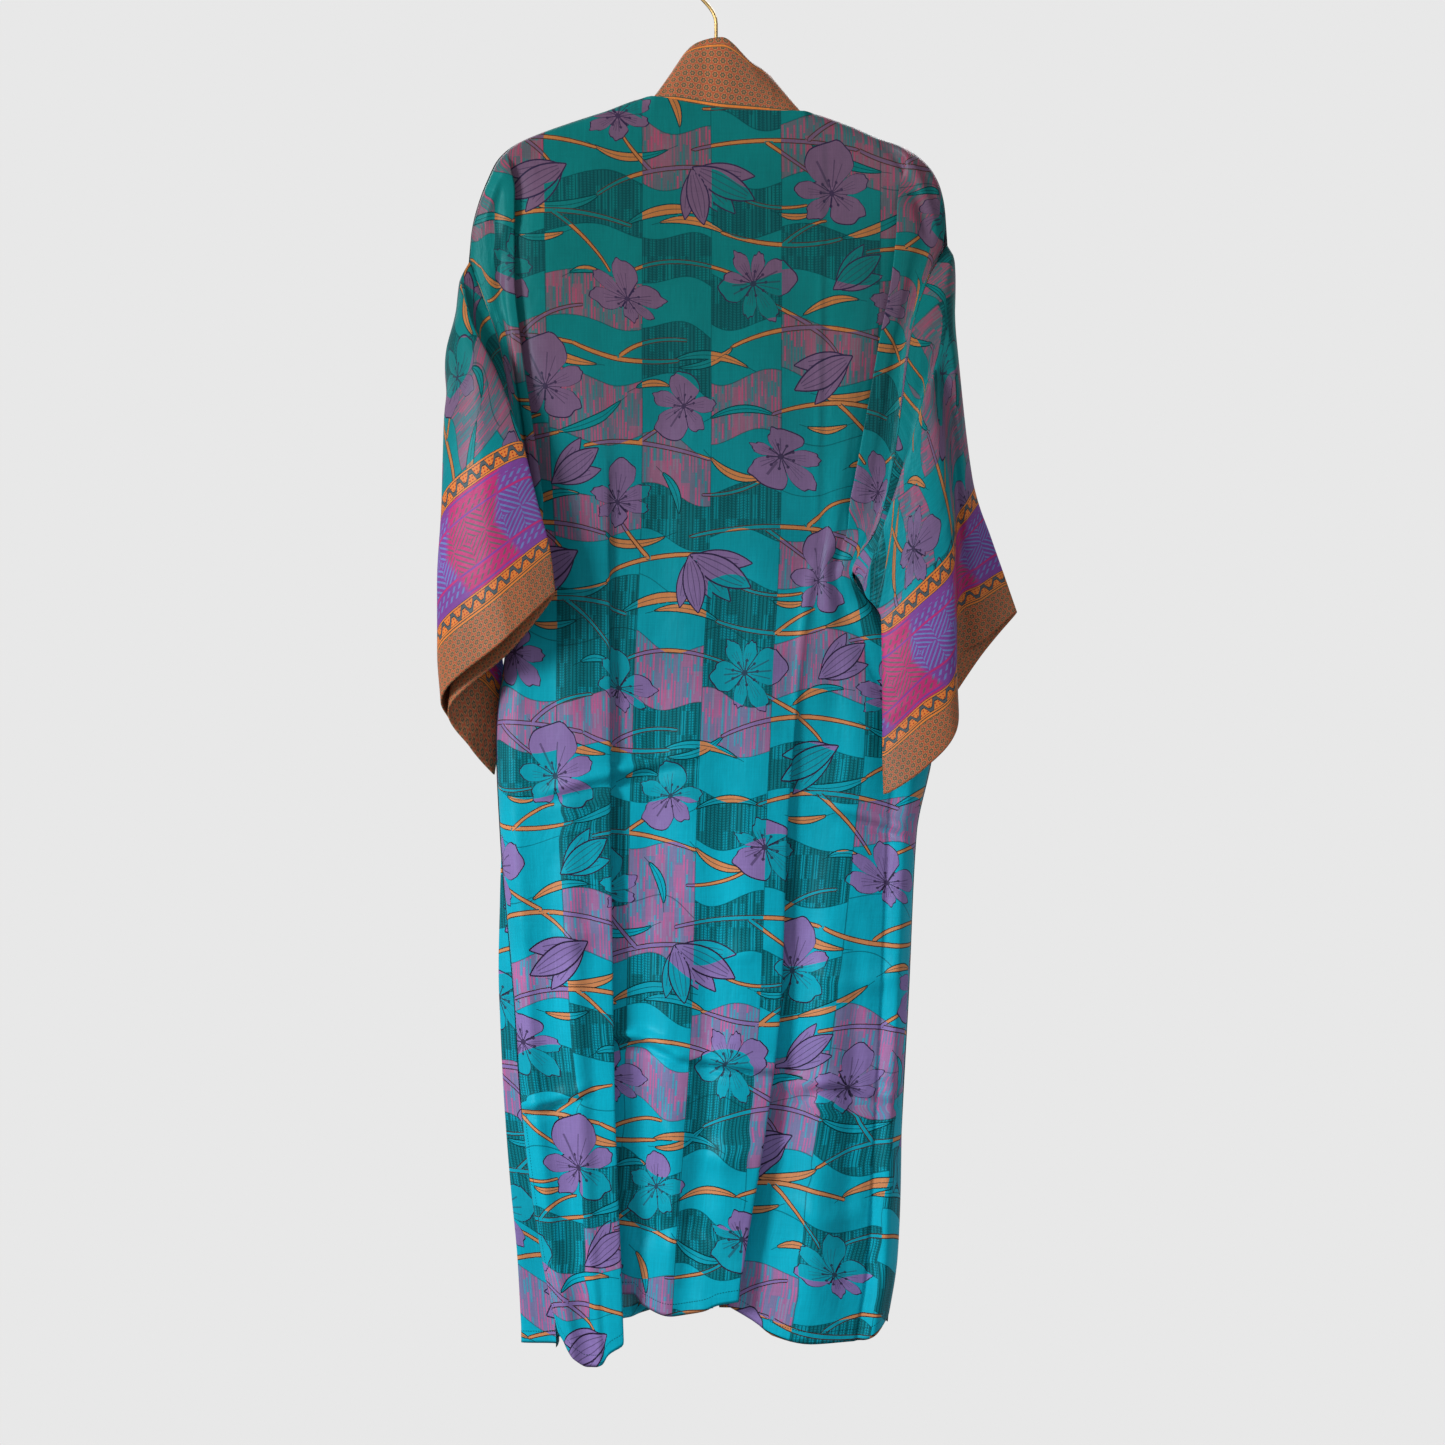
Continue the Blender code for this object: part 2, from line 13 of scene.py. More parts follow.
import bmesh
import bpy
import numpy as np
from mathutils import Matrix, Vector


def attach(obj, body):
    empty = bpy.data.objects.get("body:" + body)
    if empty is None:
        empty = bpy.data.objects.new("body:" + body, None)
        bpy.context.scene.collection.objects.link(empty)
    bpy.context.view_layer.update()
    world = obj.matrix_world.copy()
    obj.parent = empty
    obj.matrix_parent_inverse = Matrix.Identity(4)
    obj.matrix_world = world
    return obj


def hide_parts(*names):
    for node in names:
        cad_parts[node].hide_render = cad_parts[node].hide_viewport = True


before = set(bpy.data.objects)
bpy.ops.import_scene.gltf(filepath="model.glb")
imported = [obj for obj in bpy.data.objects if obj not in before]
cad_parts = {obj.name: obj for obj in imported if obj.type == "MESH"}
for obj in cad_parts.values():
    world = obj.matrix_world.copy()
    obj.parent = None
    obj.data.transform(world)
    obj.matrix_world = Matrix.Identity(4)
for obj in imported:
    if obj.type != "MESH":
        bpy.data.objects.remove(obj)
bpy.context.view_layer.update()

MM = 0.001

# Sizes shared with the solids
SHOULDER_GAP = 0.3
SIDE_GAP = 0.3
SEAM_GAP = 0.6
EDGE_GAP = 0.7
NECK_LEFT = 66
NECK_RIGHT = -89
NECK_DEPTH = 9.0
FRONT_WIDTH = 250.0

# How the cloth comes round the hanger's arm, the neck and the side edges
ARM_ROUND = 14
BACK_TOP = 150
NECK_FADE = 12
SIDE_SQUARENESS = 7
FRONT_TURN = 0.2
FRONT_TOP_GAP = 0.5
FRONT_NECK_GAP = 4
SWELL_AT = 0.12
SWELL_WIDTH = 0.11

# Where the soft waves begin and how they grow, and the shape of folds and creases
WAVES_START = (180, 420)
WAVES_GROW = (250, 1400)
BACK_FOOT = 1400
LAP_PEAK = 2.33
FOLD_SHARPNESS = 1.5
FOLD_REACH = 3
CREASE_POINTS = 12
CREASE_REACH = 5
CREASE_TAPER = 0.6
CREASE_STRENGTH = 1.6

SHOULDER = (
    # x, down
    (-233, 285), (-230, 245), (-223, 220), (-211, 202), (-192, 188), (-164, 178), (-134, 165), (-89, 152),
    (-24, 151), (21, 145), (66, 137), (116, 152), (156, 165), (191, 178), (206, 186), (220, 199), (231, 221),
    (239, 242), (246, 270), (249, 302),
)
THREADS = (0.187, 0.363, 0.69, 0.826)
BACK_SECTIONS = (
    # down, left tip, left fold, right fold, right tip, depth of the middle
    (150, 211, 107, -104, -189, 8),
    (235, 209, 107, -106, -189, 13),
    (315, 209, 107, -106, -184, 19),
    (385, 203, 107, -105, -171, 22),
    (475, 190, 106, -104, -154, 25),
    (570, 176, 106, -101, -134, 27),
    (617, 170, 106, -97, -118, 25),
    (700, 174, 106, -86, -146, 26),
    (785, 180, 106, -78, -176, 26),
    (880, 178, 107, -70, -170, 25),
    (1045, 170, 107, -61, -164, 25),
    (1156, 160, 107, -46, -158, 26),
    (1305, 142, 104, -18, -150, 30),
    (1385, 128, 103, -5, -138, 33),
)
BACK_HEM = (
    # s, down
    (0, 1376), (0.05, 1392), (0.1, 1402), (0.187, 1410), (0.29, 1406), (0.345, 1388), (0.385, 1340),
    (0.42, 1340), (0.45, 1351), (0.54, 1359), (0.624, 1353), (0.69, 1343), (0.722, 1366), (0.742, 1379),
    (0.786, 1386), (0.87, 1384), (0.94, 1378), (1, 1362),
)
BACK_FOLDS = (
    # thread, first and last down, fade, width in s, lap at top and at foot, rise at top and at foot, side
    (0, 185, 590, 50, 0.01, 9, 8, 9, 13, 1),
    (3, 190, 600, 60, 0.02, 11, 8, 14, 14, -1),
    (1, 430, 1500, 130, 0.018, 0, 15, 4, 26, 1),
    (2, 700, 1500, 120, 0.017, 3, 18, 6, 26, 1),
)
BACK_WAVES = (
    # s, width in s, height at top, height at foot
    (0.08, 0.05, 0, 6),
    (0.27, 0.045, 2, 9),
    (0.44, 0.035, -1, -8),
    (0.52, 0.035, 0, 6),
    (0.62, 0.04, 2, 8),
    (0.77, 0.035, 2, 9),
    (0.84, 0.03, 0, -6),
    (0.93, 0.04, 0, 7),
)
LEFT_EDGE = (
    # down, back x, back depth, front x, front depth
    (302, 249, 0, 249, 0),
    (345, 233, 15, 250, -10),
    (385, 218, 25, 246, -18),
    (435, 208, 28, 238, -24),
    (500, 200, 27, 222, -24),
    (560, 194, 18, 206, -16),
    (600, 191, 0, 191, 0),
    (650, 203, -3, 203, -3),
    (700, 213, -3, 213, -3),
    (785, 222, -4, 222, -4),
    (880, 218, -2, 218, -2),
    (1045, 203, 12, 203, 12),
    (1156, 195, 18, 195, 18),
    (1245, 184, 23, 178, 18),
    (1305, 174, 26, 166, 16),
    (1385, 156, 30, 160, 16),
)
RIGHT_EDGE = (
    # down, back x, back depth, front x, front depth
    (285, -233, 0, -233, 0),
    (320, -214, 18, -232, -14),
    (375, -196, 29, -228, -22),
    (445, -186, 32, -218, -24),
    (515, -176, 33, -206, -12),
    (575, -160, 33, -182, 4),
    (617, -136, 27, -136, 27),
    (660, -165, 19, -165, 19),
    (700, -190, 12, -190, 12),
    (785, -219, 0, -219, 0),
    (880, -202, 0, -202, 0),
    (1045, -194, 0, -194, 0),
    (1156, -188, 0, -188, 0),
    (1245, -186, 4, -184, -5),
    (1305, -183, 6, -180, -6),
    (1385, -170, 8, -172, -6),
)
LEFT_UNDERARM = 600
RIGHT_UNDERARM = 617
FRONT_SHAPE = (
    # down, bulge of the left side fold, bulge of the right side fold, depth of the middle
    (137, 0, 0, -8),
    (235, 0, 0, -13),
    (313, 0, 0, -18),
    (385, 0, 0, -22),
    (445, 0, 1, -24),
    (500, 0, 2, -25),
    (540, 0, 4, -26),
    (575, 0, 26, -26),
    (617, 0, 70, -27),
    (660, 2, 46, -27),
    (700, 2, 26, -28),
    (785, 4, 2, -28),
    (880, 14, 2, -28),
    (945, 22, 2, -28),
    (1045, 32, 2, -28),
    (1156, 34, 2, -29),
    (1245, 43, 2, -31),
    (1305, 48, 2, -32),
    (1385, 49, 2, -34),
)
LEFT_HEM = ((0.0, 1395), (0.1, 1400), (0.2, 1398), (0.45, 1389), (0.7, 1377), (1.0, 1368))
RIGHT_HEM = ((0.0, 1374), (0.25, 1382), (0.5, 1380), (0.75, 1372), (1.0, 1366))
FRONT_WAVES = (
    # s, width in s, height at top, height at foot
    (0.22, 0.08, 2, 8),
    (0.4, 0.07, -3, -7),
    (0.58, 0.08, 4, 9),
    (0.8, 0.07, -2, -6),
)
BAND_STATIONS = (
    # name, seam x, seam depth, seam down, free x, free depth, free down
    ("left hem", 67, -34, 1367, 3, -36, 1367),
    ("left shin", 67, -31, 1100, 3, -33, 1100),
    ("left waist", 68, -29, 800, 4, -31, 800),
    ("left chest", 69, -26, 500, 5, -29, 500),
    ("left collarbone", 69, -19, 280, 6, -23, 276),
    ("left neck", 68, -12, 190, 12, -17, 176),
    ("left shoulder", 65, -3, 139, 34, -9, 98),
    ("left nape", 46, 6, 140, 18, 2, 81),
    ("nape", -10, 9, 149, -6, 6, 77),
    ("right nape", -62, 6, 152, -34, 3, 100),
    ("right shoulder", -88, -3, 154, -55, -9, 117),
    ("right neck", -86, -12, 200, -26, -17, 184),
    ("right collarbone", -78, -19, 290, -14, -23, 284),
    ("right chest", -69, -26, 500, -5, -29, 500),
    ("right waist", -68, -29, 800, -4, -31, 800),
    ("right shin", -67, -31, 1100, -3, -33, 1100),
    ("right hem", -67, -34, 1366, -3, -36, 1366),
)
LEFT_JOIN = 5.4
RIGHT_JOIN = 10.6
LEFT_RINGS = (
    # u, then x, depth, down of: shoulder fold, near, edge, far, underarm fold, hidden far, edge and near
    (0.035, ((256, 8, 320), (263, -14, 378), (256, -28, 456), (236, -28, 532), (202, -2, 612),
             (206, 25, 540), (214, 31, 466), (232, 25, 390))),
    (0.12, ((248, 30, 356), (270, 14, 388), (272, -14, 440), (250, -22, 520), (211, -8, 640),
            (213, 18, 580), (222, 27, 500), (230, 34, 428))),
    (0.25, ((217, 50, 420), (240, 54, 428), (271, 28, 455), (262, -14, 530), (219, -10, 664),
            (224, 10, 605), (232, 22, 550), (223, 33, 490))),
    (0.44, ((191, 56, 491), (232, 62, 508), (273, 34, 544), (262, -14, 600), (220, -16, 682),
            (236, 0, 640), (250, 24, 588), (212, 46, 545))),
    (0.66, ((176, 60, 550), (226, 66, 580), (277, 34, 622), (264, -16, 670), (217, -22, 716),
            (234, -4, 680), (258, 22, 650), (210, 48, 602))),
    (0.86, ((163, 63, 599), (218, 70, 645), (276, 34, 690), (266, -14, 722), (216, -22, 752),
            (234, -4, 725), (262, 22, 702), (206, 52, 650))),
    (1, ((158, 64, 640), (210, 71, 688), (271, 34, 736), (268, -10, 768), (226, -24, 820),
           (247, -2, 794), (266, 22, 752), (202, 53, 696))),
)
RIGHT_RINGS = (
    # u, then x, depth, down of: shoulder fold, flap, valley, ridge, inner, underarm fold, two hidden points
    (0.035, ((-240, 4, 300), (-218, 30, 356), (-200, 34, 425), (-193, 36, 492), (-178, 36, 562),
             (-145, 40, 628), (-222, -6, 522), (-240, -18, 400))),
    (0.25, ((-241, 8, 380), (-236, 30, 388), (-222, 34, 410), (-208, 48, 446), (-186, 46, 514),
            (-148, 43, 640), (-196, 34, 560), (-226, 8, 430))),
    (0.44, ((-259, 12, 531), (-250, 32, 547), (-240, 32, 563), (-232, 58, 597), (-202, 60, 630),
            (-164, 44, 665), (-190, 36, 622), (-236, 18, 560))),
    (0.66, ((-276, 14, 582), (-258, 30, 596), (-241, 30, 614), (-235, 60, 670), (-203, 63, 700),
            (-165, 46, 736), (-196, 38, 676), (-248, 16, 612))),
    (0.86, ((-292, 15, 628), (-266, 27, 643), (-241, 26, 662), (-236, 60, 736), (-203, 64, 766),
            (-165, 47, 798), (-198, 39, 742), (-256, 14, 668))),
    (1, ((-302, 16, 657), (-271, 25, 683), (-242, 24, 707), (-238, 60, 774), (-204, 66, 814),
           (-166, 48, 838), (-198, 40, 798), (-262, 12, 706))),
)
LEFT_TURN = 0.5
RIGHT_TURN = 0.625
CUFF_SEAM = 0.86

# Creases pressed or hung into the back: a soft line of cloth that stands out (height above 0) or sinks in
BACK_CREASES = (
    # x, down of the start, middle and end, then half width and height
    (178, 840, 96, 815, 16, 800, 6, 3.2),
    (178, 850, 96, 826, 16, 810, 5, -2.8),
    (-115, 851, -160, 862, -199, 880, 6, 3.4),
    (-115, 861, -160, 873, -199, 891, 5, -3.8),
    (215, 1148, 180, 1148, 124, 1129, 6, 3.4),
    (215, 1158, 180, 1158, 124, 1139, 5, -3.6),
    (112, 1084, 76, 1081, 30, 1102, 6, 4.2),
    (112, 1094, 76, 1091, 30, 1112, 4, -4),
    (44, 1098, -8, 1105, -58, 1114, 6, 4),
    (44, 1108, -8, 1115, -58, 1124, 4, -3.8),
    (-80, 1140, -110, 1124, -160, 1138, 7, 3.6),
    (-80, 1151, -110, 1135, -160, 1149, 5, -3.6),
    (-140, 1132, -170, 1141, -200, 1132, 6, 3),
    (60, 1160, 10, 1200, -40, 1190, 12, 3),
    (80, 1290, 30, 1270, -10, 1310, 12, -4),
    (-70, 1240, -110, 1262, -150, 1250, 12, 2.6),
    (200, 960, 150, 985, 110, 960, 12, 2.4),
    (40, 985, -10, 1000, -55, 985, 10, 2.2),
    (-90, 1010, -140, 1030, -190, 1010, 10, 2.4),
    (-106, 160, -104, 380, -99, 605, 4, 0.6),
    (-113, 160, -111, 380, -106, 605, 5, -0.5),
    (-100, 600, -84, 700, -76, 830, 6, 2.2),
    (-172, 176, -200, 212, -224, 280, 5, 2.6),
    (-164, 182, -190, 216, -214, 284, 5, -2.4),
    (206, 200, 222, 232, 232, 268, 5, 2.4),
    (200, 250, 214, 300, 218, 360, 5, -2.2),
    (140, 200, 128, 420, 120, 640, 16, 1),
    (60, 260, 52, 520, 58, 760, 20, -1),
    (-30, 300, -36, 560, -30, 800, 20, 0.9),
    (-150, 640, -190, 720, -200, 800, 10, 3),
    (-130, 640, -120, 720, -128, 820, 12, -2.4),
    (150, 900, 138, 1100, 122, 1300, 12, 3),
    (60, 900, 50, 1150, 40, 1330, 14, 3),
    (10, 950, 12, 1150, 4, 1340, 12, -2.4),
    (-110, 900, -104, 1150, -90, 1370, 12, 3.2),
    (-140, 950, -136, 1150, -124, 1370, 10, -2.6),
)
FRONT_CREASES = (
    # share of the width and down of the start, middle and end, then half width and height
    (0.14, 830, 0.4, 812, 0.75, 806, 7, 1.6),
    (0.14, 840, 0.4, 823, 0.75, 816, 7, -1.4),
    (0.2, 1110, 0.45, 1098, 0.85, 1112, 7, 1.5),
    (0.2, 1120, 0.45, 1109, 0.85, 1122, 7, -1.3),
    (0.25, 190, 0.45, 420, 0.55, 760, 18, 2.2),
    (0.62, 240, 0.6, 520, 0.7, 820, 16, -1.8),
)

# How finely the cloth is divided
BACK_ROWS = 330
BACK_COLUMNS = 190
FRONT_COLUMNS = 84
SLEEVE_ROWS = 100
RING_COLUMNS = 201
CUFF_ROWS = 18
BAND_ROWS = (400, 160, 400)
BAND_COLUMNS = 20
ROUND_ROWS = 8
ROUND_SHARE = 0.014
FRONT_CROWDING = 1.15
FOLD_CROWDING = 2.0

# Where each piece was cut from the printed cloth, and its seams, in millimetres
BACK_PRINT = (-12.0, -60.0)
FRONT_PRINT = (420.0, -20.0)
SLEEVE_PRINT = (30.0, 150.0)
SLEEVE_LENGTH = 345.0
CUFF = (1 - CUFF_SEAM) * SLEEVE_LENGTH
RIGHT_CUFF = 26.0
HEM_STITCH = 12.0
HEM_ROWS = 3
SLIT_STITCH = 6.0
SLIT_TOP = 1156.0
CUFF_THICK = 1.6
BAND_THICK = 2.0
BAND_WIDTH = 65.0
BAND_TUCK = 0.07
BAND_STEP = 1.2
BAND_SQUARENESS = 10

# Places that are too far from a seam or a border for it to show
NO_BORDER = 999.0
NO_STITCH = 50.0
ABOVE_SLIT = 60
BEHIND_HEM = (90.0, 90.0, 0.0)

# The ends of a panel's grid that are hemmed: its axis, and whether the end is the last
FOOT = (0, True)
FIRST_EDGE = (1, False)
LAST_EDGE = (1, True)

# What differs between the robe's left side (1) and its right side (-1)
SIDES = {
    1: SimpleNamespace(
        name="left", edge=LEFT_EDGE, underarm=LEFT_UNDERARM, hem=LEFT_HEM, neck=NECK_LEFT, bulge=1,
        band=BAND_STATIONS[:7], rings=LEFT_RINGS, turn=LEFT_TURN, cuff=CUFF),
    -1: SimpleNamespace(
        name="right", edge=RIGHT_EDGE, underarm=RIGHT_UNDERARM, hem=RIGHT_HEM, neck=NECK_RIGHT, bulge=2,
        band=BAND_STATIONS[10:], rings=RIGHT_RINGS, turn=RIGHT_TURN, cuff=RIGHT_CUFF),
}


def smooth(table, column, at):
    """Reads a column of a table at the given places, along a smooth curve through its rows."""
    rows = np.array([(row[0], row[column]) for row in table], float)
    return smooth_through(rows[:, 0], rows[:, 1], at)


def smooth_through(places, values, at):
    """A cubic curve through the values that never overshoots between two of them."""
    steps = np.diff(places)
    slopes = np.diff(values, axis=0) / steps.reshape((-1,) + (1,) * (values.ndim - 1))
    before, after = slopes[:-1], slopes[1:]
    total = np.where(before + after == 0, 1, before + after)
    both = np.where(before * after > 0, 2 * before * after / total, 0)
    tangents = np.concatenate([slopes[:1], both, slopes[-1:]])
    at = np.clip(at, places[0], places[-1])
    k = np.clip(np.searchsorted(places, at, side="right") - 1, 0, len(steps) - 1)
    h, f = steps[k], (at - places[k]) / steps[k]
    if values.ndim > 1:
        h, f = h[..., None], f[..., None]
    rise = values[k + 1] - values[k]
    bend = (tangents[k] * h - rise) * (1 - f) ** 2 * f + (rise - tangents[k + 1] * h) * f**2 * (1 - f)
    return values[k] + rise * f * f * (3 - 2 * f) + bend + rise * f * (1 - f) * (1 - 2 * f)


def ease(value, low, high):
    """Goes smoothly from 0 at low to 1 at high."""
    f = np.clip((value - low) / (high - low), 0, 1)
    return f * f * (3 - 2 * f)


def bell(value, middle, width):
    """Goes from 1 at the middle to near 0 at twice the width from it."""
    return np.exp(-(((value - middle) / width) ** 2))


def edge_of(side, down, front):
    """The x and depth of a side edge, of the back or of the front."""
    first = 3 if front else 1
    return [smooth(SIDES[side].edge, column, down) for column in (first, first + 1)]


def across(down, s):
    """The x of the back's cloth at s, read through its edges and its lengthwise threads."""
    threads = [smooth(BACK_SECTIONS, k + 1, down) for k in range(len(THREADS))]
    lines = np.stack([edge_of(1, down, False)[0]] + threads + [edge_of(-1, down, False)[0]])
    places = np.array((0.0,) + THREADS + (1.0,))
    k = np.clip(np.searchsorted(places, s, side="right") - 1, 0, len(places) - 2)
    f = (s - places[k]) / (places[k + 1] - places[k])
    low, high = (np.take_along_axis(lines, k[None] + n, 0)[0] for n in (0, 1))
    return low + (high - low) * f


def shoulder_round(below):
    """How far the cloth has come round the hanger's arm, from 0 on its top to 1."""
    return np.sqrt(np.clip(1 - (1 - np.clip(below / ARM_ROUND, 0, 1)) ** 2, 0, 1))


def waves(table, s, down):
    """The depth that soft lengthwise waves add."""
    grown = ease(down, *WAVES_GROW)
    total = 0
    for middle, width, at_top, at_foot in table:
        total = total + (at_top + (at_foot - at_top) * grown) * bell(s, middle, width)
    return total * ease(down, *WAVES_START)


def creases(table, x, down, unit=1):
    """The depth that a table of creases adds. Each fades towards its ends. Its x is in the given unit."""
    total = np.zeros_like(x)
    for x0, d0, x1, d1, x2, d2, width, height in table:
        x0, x1, x2 = x0 * unit, x1 * unit, x2 * unit
        bend = (2 * x1 - (x0 + x2) / 2, 2 * d1 - (d0 + d2) / 2)
        route = quadratic((x0, d0), bend, (x2, d2), CREASE_POINTS)
        reach = CREASE_REACH * width
        near = (np.abs(x - x1) < abs(x2 - x0) + reach) & (down > min(d0, d1, d2) - reach)
        near &= down < max(d0, d1, d2) + reach
        off, place, _ = beside(route, x[near], down[near])
        fade = np.clip(4 * place * (1 - place), 0, 1) ** CREASE_TAPER
        total[near] += CREASE_STRENGTH * height * bell(off, 0, width) * fade
    return total


def quadratic(a, b, c, count):
    """Points along the curve from a to c that b bends."""
    f = np.linspace(0, 1, count)[:, None]
    a, b, c = (np.array(p, float) for p in (a, b, c))
    return a * (1 - f) ** 2 + 2 * b * f * (1 - f) + c * f * f


def beside(route, x, y):
    """Each point's signed distance from the route, place along it from 0 to 1, and how far past an end."""
    best = np.full(x.shape, 1e9)
    signed, place, past = np.zeros(x.shape), np.zeros(x.shape), np.zeros(x.shape)
    last = len(route) - 2
    for k in range(last + 1):
        ax, ay = route[k]
        dx, dy = route[k + 1] - route[k]
        length = math.hypot(dx, dy)
        f = ((x - ax) * dx + (y - ay) * dy) / length**2
        held = np.clip(f, -9 if k == 0 else 0, 9 if k == last else 1)
        gap = np.hypot(x - ax - dx * held, y - ay - dy * held)
        over = (np.maximum(0, -held) if k == 0 else 0) + (np.maximum(0, held - 1) if k == last else 0)
        over = over * length
        closer = gap + over < best
        best = np.where(closer, gap + over, best)
        sign = np.sign((x - ax) * dy - (y - ay) * dx)
        signed = np.where(closer, gap * sign, signed)
        place = np.where(closer, (k + np.clip(held, 0, 1)) / (last + 1), place)
        past = np.where(closer, over, past)
    return signed, place, past


def back_point(s, t):
    """A point of the back panel; t runs from its top edge (0) to its hem (1)."""
    top = smooth(SHOULDER, 1, across(np.full_like(s, BACK_TOP), s))
    down = top + (smooth(BACK_HEM, 1, s) - top) * t
    x = across(down, s)
    at_neck = ease(x, NECK_RIGHT - NECK_FADE, NECK_RIGHT) * (1 - ease(x, NECK_LEFT, NECK_LEFT + NECK_FADE))
    middle = smooth(BACK_SECTIONS, 5, down)
    edge = np.where(s < 0.5, edge_of(1, down, False)[1], edge_of(-1, down, False)[1])
    side = np.sqrt(np.clip(1 - np.abs(2 * s - 1) ** SIDE_SQUARENESS, 0, 1))
    come_round = np.maximum(shoulder_round(down - top), at_neck)
    y = edge + (np.maximum(middle, NECK_DEPTH * at_neck) - edge) * side
    y = y * come_round + SHOULDER_GAP * (1 - come_round) + SIDE_GAP * (1 - side)
    y = y + waves(BACK_WAVES, s, down) * side
    y = y + creases(BACK_CREASES, x, down) * side * come_round
    for thread, first, last, fade, width, lap0, lap1, rise0, rise1, on_top in BACK_FOLDS:
        f = np.clip((down - first) / (last - first), 0, 1)
        shown = ease(down, first, first + fade)
        if last < BACK_FOOT:
            shown = shown * (1 - ease(down, last - fade, last))
        off = (THREADS[thread] - s) / width
        x = x - shown * (lap0 + (lap1 - lap0) * f) * LAP_PEAK * off * np.exp(-off * off)
        lift = np.tanh(FOLD_SHARPNESS * off) * bell(off, 0, FOLD_REACH) * on_top
        y = y + shown * (rise0 + (rise1 - rise0) * f) * lift * 0.5 * side
    return x, y, down


def front_point(side, v, t):
    """A point of a front; v runs from its side edge to the band's seam, t from its top edge to its hem."""
    this = SIDES[side]
    outer_top = this.edge[0][3]
    x = outer_top + (this.neck + side * FRONT_NECK_GAP - outer_top) * v
    for _ in range(3):
        top = smooth(SHOULDER, 1, x) + FRONT_TOP_GAP
        at_edge = edge_of(side, top, True)[0]
        x = at_edge + (seam_of_band(side, top)[0] + side * SEAM_GAP - at_edge) * v
    down = top + (smooth(this.hem, 1, v) - top) * t
    seam_x, seam_y = seam_of_band(side, down)
    outer, edge_y = edge_of(side, down, True)
    outer, edge_y = outer + side * EDGE_GAP, edge_y - EDGE_GAP
    x = outer + (seam_x + side * SEAM_GAP - outer) * v
    swell = bell(v, SWELL_AT, SWELL_WIDTH) * ease(v, 0, 0.1)
    x = x + side * smooth(FRONT_SHAPE, this.bulge, down) * swell
    middle = smooth(FRONT_SHAPE, 3, down)
    turn = np.sqrt(1 - (1 - np.clip(v / FRONT_TURN, 0, 1)) ** 2)
    y = edge_y + (middle - edge_y) * turn
    y = y + (seam_y - y) * ease(v, 0.75, 1)
    come_round = shoulder_round(down - top)
    y = y * come_round - SHOULDER_GAP * (1 - come_round)
    folds = waves(FRONT_WAVES, v, down) + creases(FRONT_CREASES, v * FRONT_WIDTH, down, FRONT_WIDTH)
    return x, y - folds * (1 - ease(v, 0.8, 1)) * turn, down


def seam_of_band(side, down):
    """Where the neck band's seam edge runs down a front."""
    rows = sorted((row[3], row[1], row[2]) for row in SIDES[side].band)
    return smooth(rows, 1, down), smooth(rows, 2, down)


def band_point(u, v):
    """A point of the neck band; u counts its stations, v runs from the seam edge to the free edge."""
    rows = np.array([row[1:] for row in BAND_STATIONS], float)
    read = smooth_through(np.arange(len(rows), dtype=float), rows, u)
    seam, free = read[..., :3], read[..., 3:]
    return seam + (free - seam) * v[..., None]


def armhole(side, v):
    """The armhole's loop, read like a sleeve's ring: v goes round it from the shoulder and back."""
    this = SIDES[side]
    top = this.edge[0][0]
    down = top + (this.underarm - top) * np.where(v < this.turn, v / this.turn, (1 - v) / (1 - this.turn))
    front = v < this.turn if side > 0 else v > this.turn
    near, far = edge_of(side, down, True), edge_of(side, down, False)
    return stack(*(np.where(front, near[k], far[k]) for k in (0, 1)), down)


def sleeve_point(side, u, v):
    """A point of a sleeve; u runs from the armhole (0) to the cuff's edge (1), v round from the shoulder."""
    rings = SIDES[side].rings
    places = np.array([0.0] + [ring[0] for ring in rings])
    loops = np.array([ring[1] for ring in rings], float)
    count = loops.shape[1]
    round_places = v[0]
    around = loops[:, (np.floor(round_places * count).astype(int)[:, None] + np.arange(-1, 3)) % count]
    a, b, c, d = (around[:, :, k] for k in range(4))
    f = (round_places * count % 1)[:, None]
    ringed = b + 0.5 * f * (c - a + f * (2 * a - 5 * b + 4 * c - d + f * (3 * (b - c) + d - a)))
    ringed = np.concatenate([armhole(side, round_places)[None], ringed])
    columns = [smooth_through(places, ringed[:, k], u[:, k]) for k in range(len(round_places))]
    return np.stack(columns, axis=1)


def grid(rows, columns):
    """Two tables of the places of a grid's points, down its rows and along its columns."""
    return np.meshgrid(rows, columns, indexing="ij")


def lengths(points, axis):
    """How far each point lies along the cloth, from the first, along an axis of its grid."""
    steps = np.linalg.norm(np.diff(points, axis=axis), axis=-1)
    start = np.zeros_like(np.take(steps, [0], axis=axis))
    return np.concatenate([start, np.cumsum(steps, axis=axis)], axis=axis)


def stack(*columns):
    """The grid of points or values that has these columns."""
    return np.stack(columns, axis=-1)


def unit(vectors):
    """Vectors of length 1 in the same directions."""
    return vectors / np.maximum(np.linalg.norm(vectors, axis=-1, keepdims=True), 1e-6)


